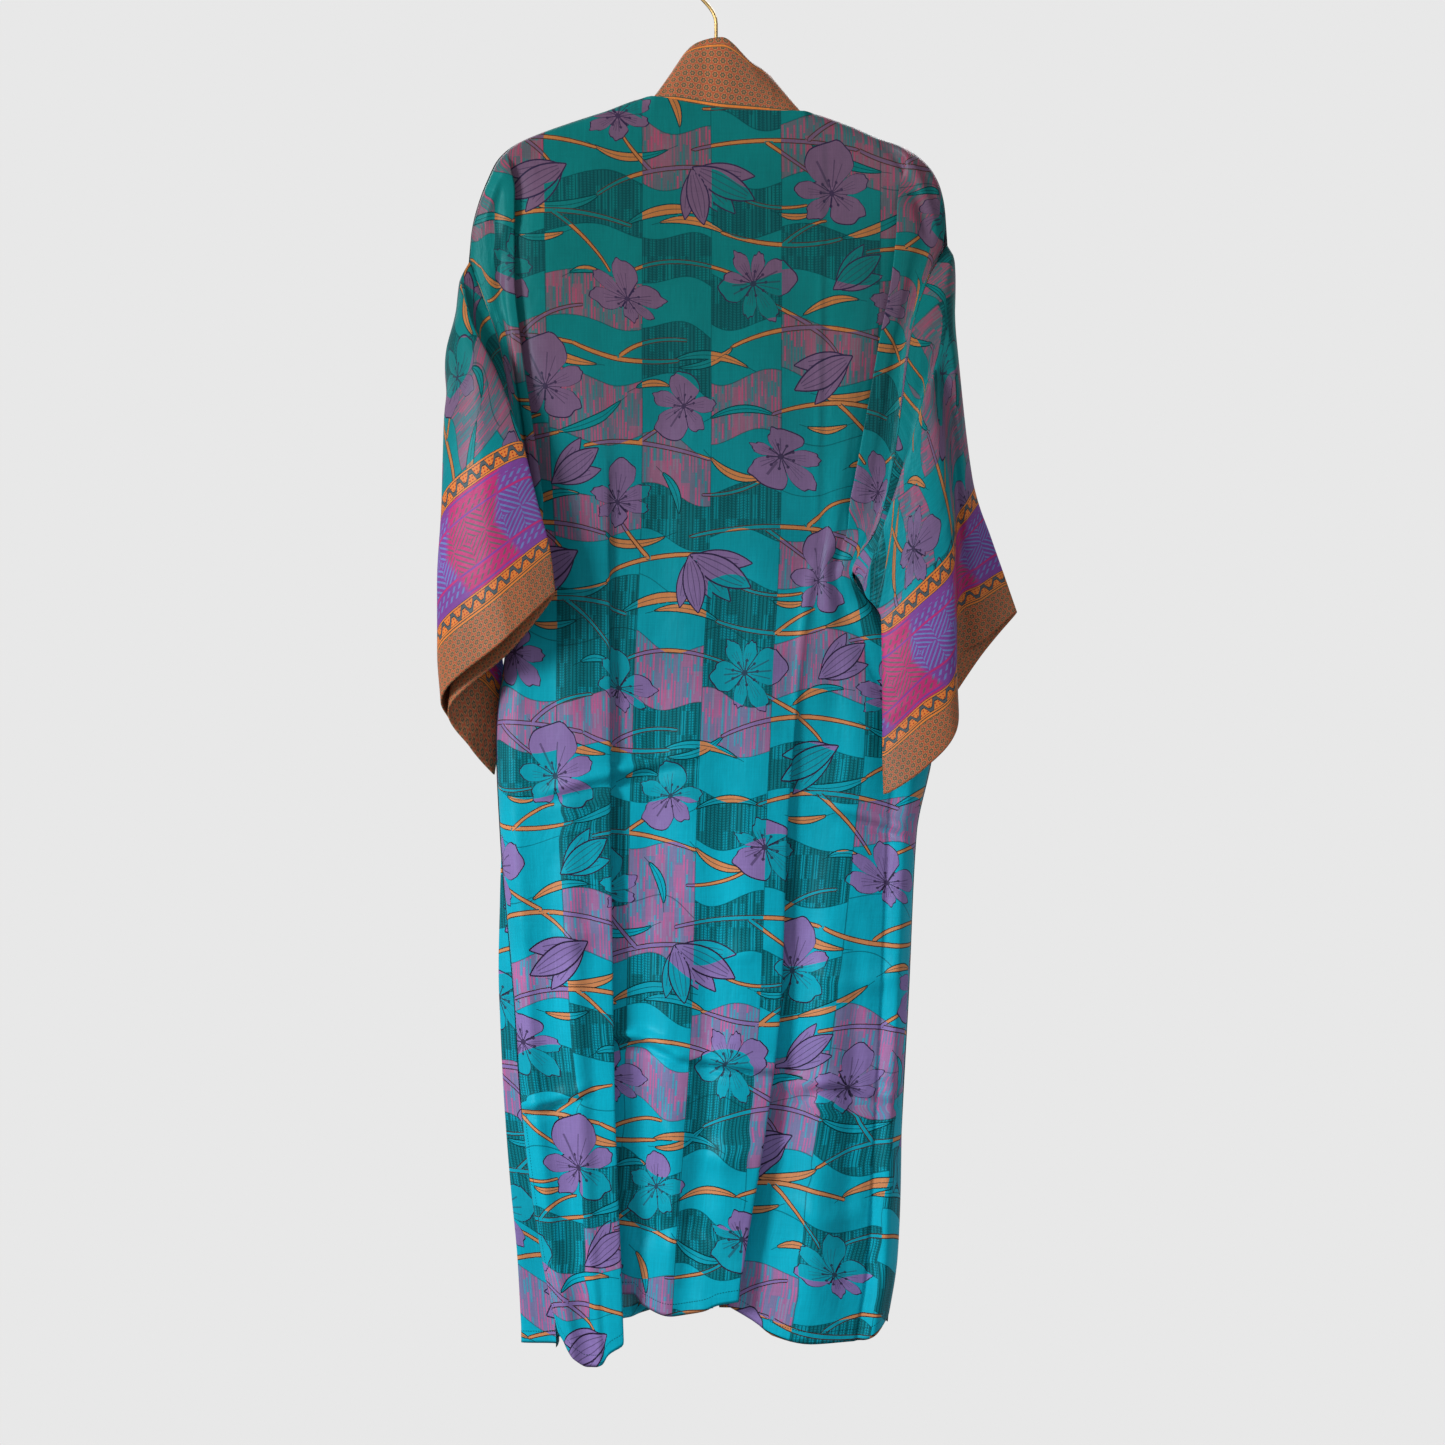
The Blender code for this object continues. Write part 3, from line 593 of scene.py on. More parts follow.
# The print's repeat, in millimetres of cloth: x across and y down. Every second repeat across drops by half
REPEAT_WIDTH = 300.0
REPEAT_HEIGHT = 390.0
FLOWERS = (
    # x, y, radius, turn in degrees, squash, number that varies it (above 1 for six petals, below for five)
    (70, 52, 42, 12, 0.9, 0.12),
    (214, 88, 41, 200, 0.72, 1.31),
    (122, 176, 43, 62, 0.84, 0.53),
    (42, 268, 41, 142, 0.92, 1.72),
    (204, 292, 43, 34, 0.76, 1.09),
    (272, 196, 37, 300, 0.8, 0.41),
)
BUDS = (
    # x, y, half length, turn in degrees, number that varies it
    (12, 166, 36, 28, 0.2),
    (150, 256, 32, -34, 0.6),
    (116, 358, 37, 152, 0.4),
    (286, 374, 30, 78, 0.8),
)
STEMS = (
    # x, y of the start, bend and end, then half width at each
    (-20, 132, 60, 112, 152, 132, 1.6, 2.6, 1.8),
    (98, 122, 124, 96, 164, 94, 2.2, 2, 1.4),
    (56, 124, 82, 142, 104, 158, 2, 1.8, 1.2),
    (152, 132, 200, 156, 268, 150, 1.8, 3, 1.6),
    (206, 146, 232, 124, 276, 130, 2.2, 2, 1.4),
    (10, 216, 70, 238, 134, 222, 1.6, 2.8, 1.6),
    (70, 230, 96, 206, 116, 204, 2.2, 1.8, 1.2),
    (160, 236, 220, 222, 300, 250, 1.6, 2.8, 1.6),
    (226, 232, 250, 214, 262, 212, 2, 1.8, 1.2),
    (20, 332, 90, 296, 180, 324, 1.6, 3, 1.6),
    (100, 310, 66, 290, 50, 284, 2.2, 1.8, 1.2),
    (100, 312, 128, 330, 134, 344, 2, 1.6, 1.2),
    (180, 372, 240, 332, 334, 350, 1.6, 2.8, 1.6),
    (238, 348, 214, 322, 208, 310, 2.2, 1.8, 1.2),
    (60, 10, 130, -16, 218, 14, 1.6, 3, 1.6),
    (132, -2, 168, 22, 194, 60, 2.2, 1.8, 1.2),
    (218, 60, 262, 38, 330, 66, 1.6, 2.4, 1.4),
    (28, 180, 60, 196, 96, 188, 1.4, 2, 1.2),
    (60, 70, 30, 92, -10, 90, 1.4, 2.2, 1.2),
)
LEAVES = (
    # x, y of the start, bend and end, then half width at each
    (100, 124, 130, 150, 178, 154, 0.6, 10, 0.5),
    (262, 150, 300, 136, 338, 158, 1, 8, 0.5),
    (132, 222, 178, 214, 208, 190, 0.8, 9, 0.5),
    (12, 216, -20, 196, -54, 206, 1, 8, 0.5),
    (178, 322, 214, 344, 256, 326, 1, 8, 0.5),
    (214, 12, 252, -12, 296, 2, 1, 10, 0.5),
    (62, 10, 30, -4, -2, 14, 1, 7, 0.5),
    (92, 300, 120, 278, 154, 284, 0.8, 8, 0.5),
    (300, 248, 322, 274, 356, 268, 1, 8, 0.5),
    (182, 372, 150, 390, 108, 380, 1, 9, 0.5),
    (22, 332, 0, 354, -34, 352, 1, 7, 0.5),
    (222, 178, 240, 168, 258, 176, 0.6, 7, 0.5),
    (150, 62, 166, 54, 184, 62, 0.6, 7, 0.5),
    (66, 196, 84, 204, 102, 196, 0.6, 6, 0.5),
    (146, 20, 118, 30, 96, 22, 0.6, 7, 0.5),
    (250, 262, 268, 278, 268, 304, 0.6, 8, 0.5),
)

# How far round a motif its field is worked out, and what a face says that no motif reaches
FAR = 60.0
FLOWER_REACH = 1.3
STROKE_REACH = 14
STROKE_POINTS = 14
STROKE_TAPER = 1.5
OUTSIDE = 9.0
NO_STROKE = (40.0, -9.0)


def placed(table, low, high, count):
    """A table's motifs at every repeat that reaches the box, each first point moved there."""
    found = []
    for column in range(math.floor(low[0] / REPEAT_WIDTH) - 1, math.ceil(high[0] / REPEAT_WIDTH) + 1):
        for row in range(math.floor(low[1] / REPEAT_HEIGHT) - 2, math.ceil(high[1] / REPEAT_HEIGHT) + 1):
            shift = (column * REPEAT_WIDTH, (row + 0.5 * (column % 2)) * REPEAT_HEIGHT)
            for motif in table:
                moved = [motif[k] + shift[k % 2] for k in range(2 * count)]
                if all(low[k] - FAR < moved[k] < high[k] + FAR for k in (0, 1)):
                    found.append(tuple(moved) + motif[2 * count:])
    return found


def blank_field(corners, nothing):
    """A field that says nothing is printed, the faces' middles, and the least and most of their corners."""
    field = np.zeros(corners.shape[:-1] + (3,))
    field[..., :2] = nothing
    return field, corners.mean(axis=-2), corners.min(axis=(0, 1, 2)), corners.max(axis=(0, 1, 2))


def flower_fields(corners):
    """For each face's corners: their place in the nearest flower or bud, and the number that varies it."""
    field, centre, low, high = blank_field(corners, OUTSIDE)
    nearest = np.full(centre.shape[:-1], 1.0)
    buds = [(x, y, r, turn, 1.0, -number) for x, y, r, turn, number in placed(BUDS, low, high, 1)]
    for x, y, r, turn, squash, number in placed(FLOWERS, low, high, 1) + buds:
        reach = np.hypot(centre[..., 0] - x, centre[..., 1] - y) / (FLOWER_REACH * r)
        mine = reach < nearest
        nearest[mine] = reach[mine]
        c, s = math.cos(math.radians(turn)), math.sin(math.radians(turn))
        off = corners[mine] - (x, y)
        field[mine, :, 0] = (off[..., 0] * c + off[..., 1] * s) / r
        field[mine, :, 1] = (off[..., 1] * c - off[..., 0] * s) / (r * squash)
        field[mine, :, 2] = number
    return field


def stroke_fields(corners, table):
    """For each face's corners: the distance from the nearest stroke, and the stroke's half width there."""
    field, centre, low, high = blank_field(corners, NO_STROKE)
    gap = np.full(centre.shape[:-1], OUTSIDE)
    for x0, y0, x1, y1, x2, y2, *widths in placed(table, low, high, 3):
        route = quadratic((x0, y0), (x1, y1), (x2, y2), STROKE_POINTS)
        above, under = route.min(axis=0) - STROKE_REACH, route.max(axis=0) + STROKE_REACH
        inside = np.all((centre > above) & (centre < under), axis=-1)
        if not inside.any():
            continue
        signed, place, past = beside(route, centre[inside][:, 0], centre[inside][:, 1])
        off = np.abs(signed) + past - half_width(place, *widths)
        closer = off < gap[inside]
        mine = np.zeros_like(inside)
        mine[inside] = closer
        gap[mine] = off[closer]
        signed, place, past = beside(route, corners[mine][..., 0], corners[mine][..., 1])
        field[mine, :, 0] = signed
        field[mine, :, 1] = half_width(place, *widths) - STROKE_TAPER * past
    return field


def half_width(place, w0, w1, w2):
    """A stroke's half width at a place along it, from those at its start, bend and end."""
    return w0 * (1 - place) ** 2 + 2 * w1 * place * (1 - place) + w2 * place**2


def add(tree, kind, output, inputs, **settings):
    """Adds a node with its settings and inputs, and returns one of its outputs."""
    made = tree.nodes.new("ShaderNode" + kind)
    for key, value in settings.items():
        setattr(made, key, value)
    for key, value in inputs.items():
        join(tree, value, made.inputs[key])
    return Value(tree, made.outputs[output])


def join(tree, value, socket):
    """Links a value to a socket, or sets the socket to a plain number or an opaque colour."""
    if isinstance(value, Value):
        tree.links.new(value.socket, socket)
    else:
        socket.default_value = value + (1,) if isinstance(value, tuple) else value


class Value:
    """A number or vector in a material's nodes. Arithmetic on it adds the nodes that work it out."""

    def __init__(self, tree, socket):
        self.tree, self.socket = tree, socket

    def node(self, operation, *others):
        return add(self.tree, "Math", 0, dict(enumerate((self,) + others)), operation=operation)

    def __truediv__(self, other):
        return self.node("DIVIDE", other) if isinstance(other, Value) else self * (1.0 / other)

    def __rsub__(self, other):
        return self * -1.0 + other

    def repeat(self, length):
        """The place within a repeat of this length, from 0 to 1."""
        return (self / length).fract()

    def off_middle(self):
        """How far the place within a repeat is from the repeat's middle."""
        return (self.fract() - 0.5).abs()

    def soft(self, low, high):
        """Goes smoothly from 0 at low to 1 at high."""
        return add(self.tree, "MapRange", 0, {0: self, 1: low, 2: high}, interpolation_type="SMOOTHSTEP")

    def parts(self):
        first = add(self.tree, "SeparateXYZ", 0, {0: self})
        return [Value(self.tree, out) for out in first.socket.node.outputs]


# The node that each sign or name adds to a value
OPERATIONS = {
    "__add__": "ADD", "__sub__": "SUBTRACT", "__mul__": "MULTIPLY", "__rmul__": "MULTIPLY", "abs": "ABSOLUTE",
    "floor": "FLOOR", "fract": "FRACT", "sin": "SINE", "cos": "COSINE", "root": "SQRT", "power": "POWER",
    "least": "MINIMUM", "most": "MAXIMUM", "over": "GREATER_THAN", "under": "LESS_THAN", "nearest": "ROUND",
    "wrapped": "FLOORED_MODULO", "rest": "MODULO", "angle": "ARCTAN2",
}
for label, operation in OPERATIONS.items():
    setattr(Value, label, partialmethod(Value.node, operation))


class Paper:
    """A material's node tree, with the few nodes that the prints are drawn with."""

    def __init__(self, name):
        self.material = bpy.data.materials.new(name)
        self.material.use_nodes = True
        self.tree = self.material.node_tree
        self.shader = self.tree.nodes["Principled BSDF"]

    def set(self, name, value):
        """Gives one of the shader's sockets its value."""
        join(self.tree, value, self.shader.inputs[name])

    def read(self, name):
        return add(self.tree, "Attribute", "Vector", {}, attribute_name=name)

    def join(self, x, y, z=0.0):
        return add(self.tree, "CombineXYZ", 0, {0: x, 1: y, 2: z})

    def mix(self, factor, a, b, blend="MIX"):
        return add(self.tree, "Mix", 2, {0: factor, 6: a, 7: b}, data_type="RGBA", blend_type=blend)

    def noise(self, vector, scale, detail):
        return add(self.tree, "TexNoise", 0, {"Vector": vector, "Scale": scale, "Detail": detail})

    def streaks(self, u, v, detail=2.0):
        """Noise over the cloth, at places that are already scaled to the size of its spots."""
        return self.noise(self.join(u, v), 1.0, detail)

    def chance(self, x, y):
        """A number from 0 to 1 that differs from cell to cell."""
        return add(self.tree, "TexWhiteNoise", 0, {"Vector": self.join(x, y)}, noise_dimensions="2D")

    def bump(self, height, distance):
        sockets = {"Strength": BUMP_STRENGTH, "Distance": distance * MM, "Height": height}
        self.set("Normal", add(self.tree, "Bump", 0, sockets))


# Colours as the light leaves them on the cloth, in linear red, green and blue. Two give the top and the foot:
# the foot's is bluer, and much lighter as painted light on the lower cloth
TEAL = ((0.002, 0.128, 0.124), (0.002, 0.345, 0.47))
DEEP_TEAL = ((0.003, 0.078, 0.08), (0.002, 0.17, 0.215))
LINE_TEAL = (0.001, 0.028, 0.032)
PALE_TEAL = ((0.003, 0.12, 0.116), (0.003, 0.305, 0.41))
MAUVE = ((0.075, 0.08, 0.095), (0.165, 0.165, 0.32))
HOT_PINK = ((0.3, 0.038, 0.088), (0.5, 0.09, 0.27))
PURPLE = ((0.118, 0.064, 0.114), (0.215, 0.145, 0.37))
PURPLE_LINE = (0.022, 0.01, 0.036)
ORANGE = ((0.345, 0.125, 0.033), (0.54, 0.215, 0.085))
BROWN_LINE = (0.05, 0.016, 0.008)
BORDER_ORANGE = (0.56, 0.165, 0.03)
BORDER_RED = (0.33, 0.03, 0.015)
BORDER_GREY = (0.07, 0.075, 0.085)
MAGENTA = (0.4, 0.02, 0.13)
VIOLET = (0.165, 0.042, 0.235)
LATTICE_BLUE = (0.105, 0.18, 0.4)
LATTICE_GREY = (0.09, 0.085, 0.095)
TAN = (0.335, 0.165, 0.074)
TAN_RED = (0.33, 0.062, 0.028)
TAN_DARK = (0.06, 0.058, 0.036)
REVERSE = (0.16, 0.24, 0.27)
GLOSS_TINT = (0.35, 0.92, 1.0)
SHEEN_TINT = (0.45, 0.8, 0.85)
GOLD = (0.36, 0.25, 0.1)
GOLD_WORN = (0.24, 0.15, 0.06)
# The downs between which each pair turns from its top colour to its foot colour: bluer, and lighter below as
# painted light
GREENER_PAINTED_SHADE_ABOVE = 300.0
BLUER_PAINTED_LIGHT_BELOW = 1050.0
BUMP_STRENGTH = 0.6

# The patchwork under the motifs, in millimetres of cloth: its blocks, and the threads of two kinds of them
BLOCK_WIDTH = 84
BLOCK_HEIGHT = 52
BLOCK_EDGE = 0.55
PATTERNED_ABOVE = 0.50
PINK_ABOVE = 0.76
OUT_OF_TURN = 0.14
COLUMN_WAVE = (47, 0.16)
ROW_WAVE = (41, 0.12)
HATCH = 3.9
TICK = 2.6
HATCH_LIGHT = 24
PINK_THREAD = 3.3
PINK_STEP = 15
PINK_BAND = (10.5, 33)

# A flower's or bud's sizes and lines, as shares of its radius or half length
PETAL = (0.76, 0.4, 0.14)
PETAL_SWING = 0.3
PETAL_BLUNTNESS = 0.3
PETAL_NOTCH = 0.4
PETAL_LINE = 0.017
VEIN = 0.009
VEIN_START = 0.16
VEIN_END = 0.66
HEART = 0.08
STAMENS = 0.30
BUD_BACK = 0.9
BUD_MIDDLE = 0.36
BUD_LEAN = 0.36
BUD_SIDE = (1.7, 0.26)

# The sleeve border above the cuff's seam, and the small net of the tan bands, in millimetres
ZIGZAG = 19.0
ZIGZAG_REPEAT = 16
ZIGZAG_SWING = 4.6
DOTS = 3.6
LATTICE = 107.0
COLOUR_REPEAT = 128
TILE = 42
LATTICE_RING = 7.0
RINGS_REACH = 27.0
DASHES = (8.4, 7.6)
DASHES_REACH = (31.0, 46.0)
LATTICE_LINES = (50.0, 29.0)
LATTICE_LINE = 1.2
BORDER = 2 * ZIGZAG + LATTICE
NET_WIDTH = 7.6
NET_HEIGHT = 6.6
FOLD_LINE = 57.0

# The machine stitches: their repeat and half width in millimetres, and the share of the repeat that shows
STITCH = 2.8
STITCH_HALF = 0.45
STITCH_SHOWS = 0.62


def inked(paper, ground, printed, colour, line_colour):
    """Prints a motif over the ground: its flat colour, then its lines."""
    inside, line = printed
    return paper.mix(line, paper.mix(inside, ground, colour), line_colour)


def blocks(paper, u, v):
    """The patchwork under the motifs: which kind each block is, and how far off the block's edge is."""
    c = u / BLOCK_WIDTH + (u / COLUMN_WAVE[0]).sin() * COLUMN_WAVE[1]
    column = c.floor()
    slope = c.fract() * (paper.chance(column, 3.0) - 0.35) * 0.8
    r = v / BLOCK_HEIGHT + (v / ROW_WAVE[0]).sin() * ROW_WAVE[1] - slope + (c * 4.4 + v / 90).sin() * 0.16
    row = r.floor()
    odd = (column + row).wrapped(2.0)
    odd = (odd - paper.chance(column + 40.0, row).under(OUT_OF_TURN)).abs()
    kind = odd * (paper.chance(column, row) * 0.5 + 0.5)
    edge = (0.5 - c.off_middle()) * BLOCK_WIDTH
    edge = edge.least((0.5 - r.off_middle()) * BLOCK_HEIGHT)
    return kind.over(PATTERNED_ABOVE), kind.over(PINK_ABOVE), edge


def hatching(paper, u, v):
    """Fine dark lines down the cloth with small ticks between them, and here and there a light line."""
    thread = u / HATCH
    number = thread.floor()
    line = thread.off_middle().under(0.17)
    tick = (v / TICK + paper.chance(number, 5.0)).fract().under(0.42) * paper.chance(number, 9.0).over(0.3)
    return line.most(tick * 0.75), paper.chance(number, (v / HATCH_LIGHT).floor()).over(0.70)


def flower_print(paper, field):
    """Where a flower's or bud's colour lies, and where its lines lie: the number is above 0 in a flower."""
    x, y, number = field.parts()
    is_open = number.over(0.0)
    both = zip(open_flower(paper, x, y, number), closed_bud(x, y))
    return [flower * is_open + bud * (1.0 - is_open) for flower, bud in both]


def open_flower(paper, x, y, number):
    """A flower of five or six uneven petals, with veins and stamens."""
    r = (x * x + y * y).root()
    petals = number.abs().floor() + 5.0
    seed = (number * 100.0).nearest()
    turn = y.angle(x)
    angle = turn / (2 * math.pi) + 1.0
    place = angle * petals + (turn * 2.0 + seed).sin() * PETAL_SWING + number * 7.0
    cell = place.floor().rest(petals)
    f = place.fract() - 0.5
    far = f.abs()
    least, varies, lean = PETAL
    long = paper.chance(cell, seed) * varies + (turn + seed).cos() * lean + least
    frill = (place * 17.0 + seed).sin() * 0.022 + (place * 31.0).sin() * 0.012
    tip = (far * -9.0 + 1.0).most(0.0) * 0.07
    lobe = ((f + paper.chance(cell, seed + 3.0) * 0.16 - 0.08) * math.pi).cos()
    rim = long * lobe.most(0.0).power(PETAL_BLUNTNESS).most(PETAL_NOTCH) + frill + tip
    width = r * (2 * math.pi) / petals
    line = (r - rim).abs().under(PETAL_LINE)
    line = line.most(((0.5 - far) * width).under(0.012) * r.over(0.1))
    vein = ((far - 0.16).abs() * width).under(VEIN).most((far * width).under(VEIN))
    vein = vein * r.over(VEIN_START) * r.under(VEIN_END * long)
    stamen = (angle * 9.0 + number * 3.0).fract() - 0.5
    heart = r.under(HEART).most((stamen.abs() * r).under(0.022) * r.under(STAMENS))
    heart = heart.most(((r - 0.32) * (r - 0.32) + (stamen * r * 0.7).power(2.0)).under(0.0016))
    return r.under(rim), (line * r.under(rim + 0.03)).most(vein * 0.55).most(heart * 0.85)


def closed_bud(x, y):
    """A bud: a middle petal between two that lean out from its foot."""
    bx, by = x + BUD_BACK, y.abs()
    middle = (1.0 - x * x) * BUD_MIDDLE
    c, s = math.cos(BUD_LEAN), math.sin(BUD_LEAN)
    qx = bx * c + by * s
    qy = (by * c - bx * s).abs()
    long, wide = BUD_SIDE
    side = qx * (1.0 - qx / long) * (4 * wide / long)
    line = (by - middle).abs().under(0.024) * by.under(0.5) * x.abs().under(1.0)
    line = line.most((qy - side).abs().under(0.020) * by.over(middle) * qx.over(0.0) * qx.under(long))
    vein = (by - middle * 0.5).abs().under(0.014).most(by.under(0.012)) * x.abs().under(0.75)
    side_vein = (qy - side * 0.3).abs().under(0.012) * by.over(middle)
    vein = vein.most(side_vein * qx.over(0.2) * qx.under(1.3))
    return by.under(middle).most(qy.under(side)), line.most(vein * 0.6)


def stroke_print(field, outline, vein=0.0):
    """Where a stem's or leaf's colour lies, and where its outline and a leaf's middle line lie."""
    off, wide, _ = field.parts()
    off = off.abs()
    line = (off - wide).abs().under(outline) * wide.over(0.3)
    return off.under(wide), line.most(off.under(vein) * 0.8) if vein else line


def silk_ground(paper, u, v, low):
    """The cloth before its motifs, and where two kinds of block lie; low turns it from green to blue, and
    lighter towards the foot as painted light.
    """
    patterned, pink, edge = blocks(paper, u, v)
    hatch, light = hatching(paper, u, v)
    plain = paper.mix(low, *TEAL)
    deep = paper.mix(light * 0.7, paper.mix(low, *DEEP_TEAL), plain)
    deep = paper.mix(hatch * 0.66, deep, LINE_TEAL)
    thread = u / PINK_THREAD
    number = thread.floor()
    strength = paper.chance(number, (v / PINK_STEP + paper.chance(number, 4.0) * 5.0).floor())
    line = thread.off_middle().soft(0.32, 0.18)
    wide = (u / PINK_BAND[0]).floor()
    band = paper.chance(wide, (v / PINK_BAND[1] + paper.chance(wide, 6.0) * 3.0).floor()).over(0.76)
    mauve = paper.mix(strength.under(0.30) * line * 0.7, paper.mix(low, *MAUVE), plain)
    hot = (line * strength.soft(0.40, 0.90) * 0.85).most(band * 0.40)
    mauve = paper.mix(hot, mauve, paper.mix(low, *HOT_PINK))
    ground = paper.mix(pink, paper.mix(patterned, plain, deep), mauve)
    ground = paper.mix(edge.under(BLOCK_EDGE) * 0.55, ground, LINE_TEAL)
    return ground, patterned * (1.0 - pink), pink


def border_print(paper, x, above, ground):
    """The sleeve's border: a zigzag band, the lattice band and another zigzag band, over the ground."""
    upper = above.over(ZIGZAG + LATTICE)
    y = above - upper * (ZIGZAG + LATTICE)
    swing = ((x * (2 * math.pi / ZIGZAG_REPEAT)).sin() * 1.25).least(1.0).most(-1.0)
    wave = (y - ZIGZAG / 2 - swing * ZIGZAG_SWING).abs()
    dots = (x.repeat(DOTS) - 0.5).power(2.0) + (y.repeat(DOTS) - 0.5).power(2.0)
    orange = paper.mix(dots.under(0.06), BORDER_ORANGE, BORDER_RED)
    rim = y.least(ZIGZAG - y)
    for off, reach, colour in ((wave, 2.9, LINE_TEAL), (wave, 1.8, BORDER_GREY), (rim, 2.9, LINE_TEAL),
                               (rim, 2.3, BORDER_ORANGE), (rim, 0.6, LINE_TEAL)):
        orange = paper.mix(off.under(reach), orange, colour)
    h = above - ZIGZAG
    middle = h - LATTICE / 2
    from_middle = middle.abs()
    stretch = (x / COLOUR_REPEAT + from_middle / 400 + 0.42).fract()
    violet = stretch.soft(0.44, 0.52) * (1.0 - stretch.soft(0.94, 1.0))
    base = paper.mix(violet, MAGENTA, VIOLET)
    ink = paper.mix(violet, LATTICE_GREY, LATTICE_BLUE)
    tile = x.repeat(TILE) * TILE - TILE / 2
    ring = tile.abs() + from_middle + (tile * middle).over(0.0) * (LATTICE_RING / 2)
    key = ring.repeat(LATTICE_RING).under(0.38) * from_middle.under(RINGS_REACH)
    slant = (x + h * 0.8).repeat(DASHES[0]).under(0.38) * h.repeat(DASHES[1]).under(0.66)
    slant = slant * from_middle.over(DASHES_REACH[0]) * from_middle.under(DASHES_REACH[1])
    lattice = paper.mix(key.most(slant) * 0.85, base, ink)
    for line, colour in zip(LATTICE_LINES, (VIOLET, paper.mix(violet, VIOLET, MAGENTA))):
        lattice = paper.mix((from_middle - line).abs().under(LATTICE_LINE), lattice, colour)
    border = paper.mix(above.under(ZIGZAG).most(upper), lattice, orange)
    return paper.mix(above.under(BORDER), ground, border)


def finish_silk(paper, colour, u, v, reverse):
    """Uneven threads, sheen, weave and gloss of the silk; the reverse shows the print paler."""
    threads = paper.streaks(u * 0.9, v * 0.03, 3.0)
    weft = paper.streaks(u * 0.03, v * 0.9)
    cloudy = paper.streaks(u * 0.012, v * 0.009)
    slubs = threads * 0.42 + weft * 0.20 + cloudy * 0.56 + 0.41
    colour = paper.mix(1.0, colour, paper.join(slubs, slubs, slubs), "MULTIPLY")
    inside = add(paper.tree, "NewGeometry", "Backfacing", {})
    paper.set("Base Color", paper.mix(inside * reverse, colour, REVERSE))
    weave = paper.streaks(u * 1.6, v * 0.35)
    paper.set("Roughness", weave * 0.20 + 0.34)
    rumple = paper.streaks(u * 0.035, v * 0.022, 3.0)
    paper.bump(weave * 0.10 + rumple * 3.0, 1.0)
    paper.set("Specular IOR Level", 0.14)
    paper.set("Specular Tint", GLOSS_TINT)
    paper.set("Sheen Weight", 0.02)
    paper.set("Sheen Roughness", 0.45)
    paper.set("Sheen Tint", SHEEN_TINT)


def stitches(paper, colour, sewn, u, v):
    """Two rows of machine stitches: one along the hem and one along a side edge."""
    below, beside_it, _ = sewn.parts()
    hem = below.abs().under(STITCH_HALF) * u.repeat(STITCH).under(STITCH_SHOWS)
    side = beside_it.abs().under(STITCH_HALF) * v.repeat(STITCH).under(STITCH_SHOWS)
    return paper.mix(hem.most(side) * 0.8, colour, LINE_TEAL)


def printed_silk():
    """The printed silk: its ground, leaves, stems and flowers, the sleeve's border and the stitches."""
    paper = Paper("printed_silk_print")
    u, v, above = paper.read("cloth").parts()
    sewn = paper.read("sewn")
    # How far down the cloth hangs, from 0 above to 1 below: it turns each paired colour bluer, and lighter as
    # painted light
    low = sewn.parts()[2].soft(GREENER_PAINTED_SHADE_ABOVE, BLUER_PAINTED_LIGHT_BELOW)
    colour, hatched, pink = silk_ground(paper, u, v, low)
    quiet, orange, purple, teal = (paper.mix(low, *pair) for pair in (PALE_TEAL, ORANGE, PURPLE, TEAL))
    on_plain = paper.mix(hatched, orange, quiet)
    leaf = stroke_print(paper.read("leaf"), 0.55, 0.35)
    colour = inked(paper, colour, leaf, paper.mix(pink, on_plain, teal), LINE_TEAL)
    stem = stroke_print(paper.read("stem"), 0.5)
    colour = inked(paper, colour, stem, paper.mix(pink, on_plain, purple), BROWN_LINE)
    flower = flower_print(paper, paper.read("flower"))
    colour = inked(paper, colour, flower, paper.mix(hatched, purple, quiet), PURPLE_LINE)
    colour = border_print(paper, v, above, colour)
    colour = stitches(paper, colour, sewn, u, v)
    finish_silk(paper, colour, u, v, 0.35)
    return paper.material


def border_silk():
    """The tan bands: a small lattice of six-pointed stars and rings, and an orange line along the seam."""
    paper = Paper("border_silk_print")
    u, v, above = paper.read("cloth").parts()
    y = above / NET_HEIGHT
    x = v / NET_WIDTH + y.floor().wrapped(2.0) * 0.5
    fx, fy = x.fract() - 0.5, (y.fract() - 0.5) * 0.87
    r = (fx * fx + fy * fy).root()
    spoke = (fy.angle(fx) * (3 / math.pi) + 6.0).off_middle()
    star = (r - 0.17 - spoke * 0.26).abs().under(0.085)
    ring = r.over(0.42).most(r.under(0.09))
    wear = paper.streaks(u * 0.02, v * 0.02)
    fold = (above - FOLD_LINE).abs()
    inks = (
        (wear.soft(0.35, 0.65) * 0.20, BORDER_ORANGE), (ring * 0.85, TAN_RED), (star * 0.95, TAN_DARK),
        (above.under(3.8), TAN_DARK), (above.under(2.8) * above.over(0.6), BORDER_ORANGE),
        (fold.under(1.6), TAN_DARK), (fold.under(1.0), BORDER_ORANGE),
    )
    colour = TAN
    for shown, ink in inks:
        colour = paper.mix(shown, colour, ink)
    finish_silk(paper, colour, u, v, 0.25)
    return paper.material


def gold():
    """Gilt wire: bright, a little uneven, slightly dulled in patches."""
    paper = Paper("gold_metal_wire")
    place = add(paper.tree, "TexCoord", "Object", {})
    wear = paper.noise(place, 60.0, 4.0)
    paper.set("Base Color", paper.mix(wear.soft(0.35, 0.7), GOLD, GOLD_WORN))
    paper.set("Roughness", wear * 0.25 + 0.30)
    paper.set("Metallic", 1.0)
    paper.bump(paper.noise(place, 400.0, 3.0), 0.15)
    return paper.material


def put(name, data):
    """Puts an object into the scene."""
    made = bpy.data.objects.new(name, data)
    bpy.context.collection.objects.link(made)
    return made


def at_corners(field, flip):
    """A grid's values at the four corners of each of its faces."""
    corners = np.stack([field[:-1, :-1], field[:-1, 1:], field[1:, 1:], field[1:, :-1]], axis=2)
    return corners[:, :, ::-1] if flip else corners


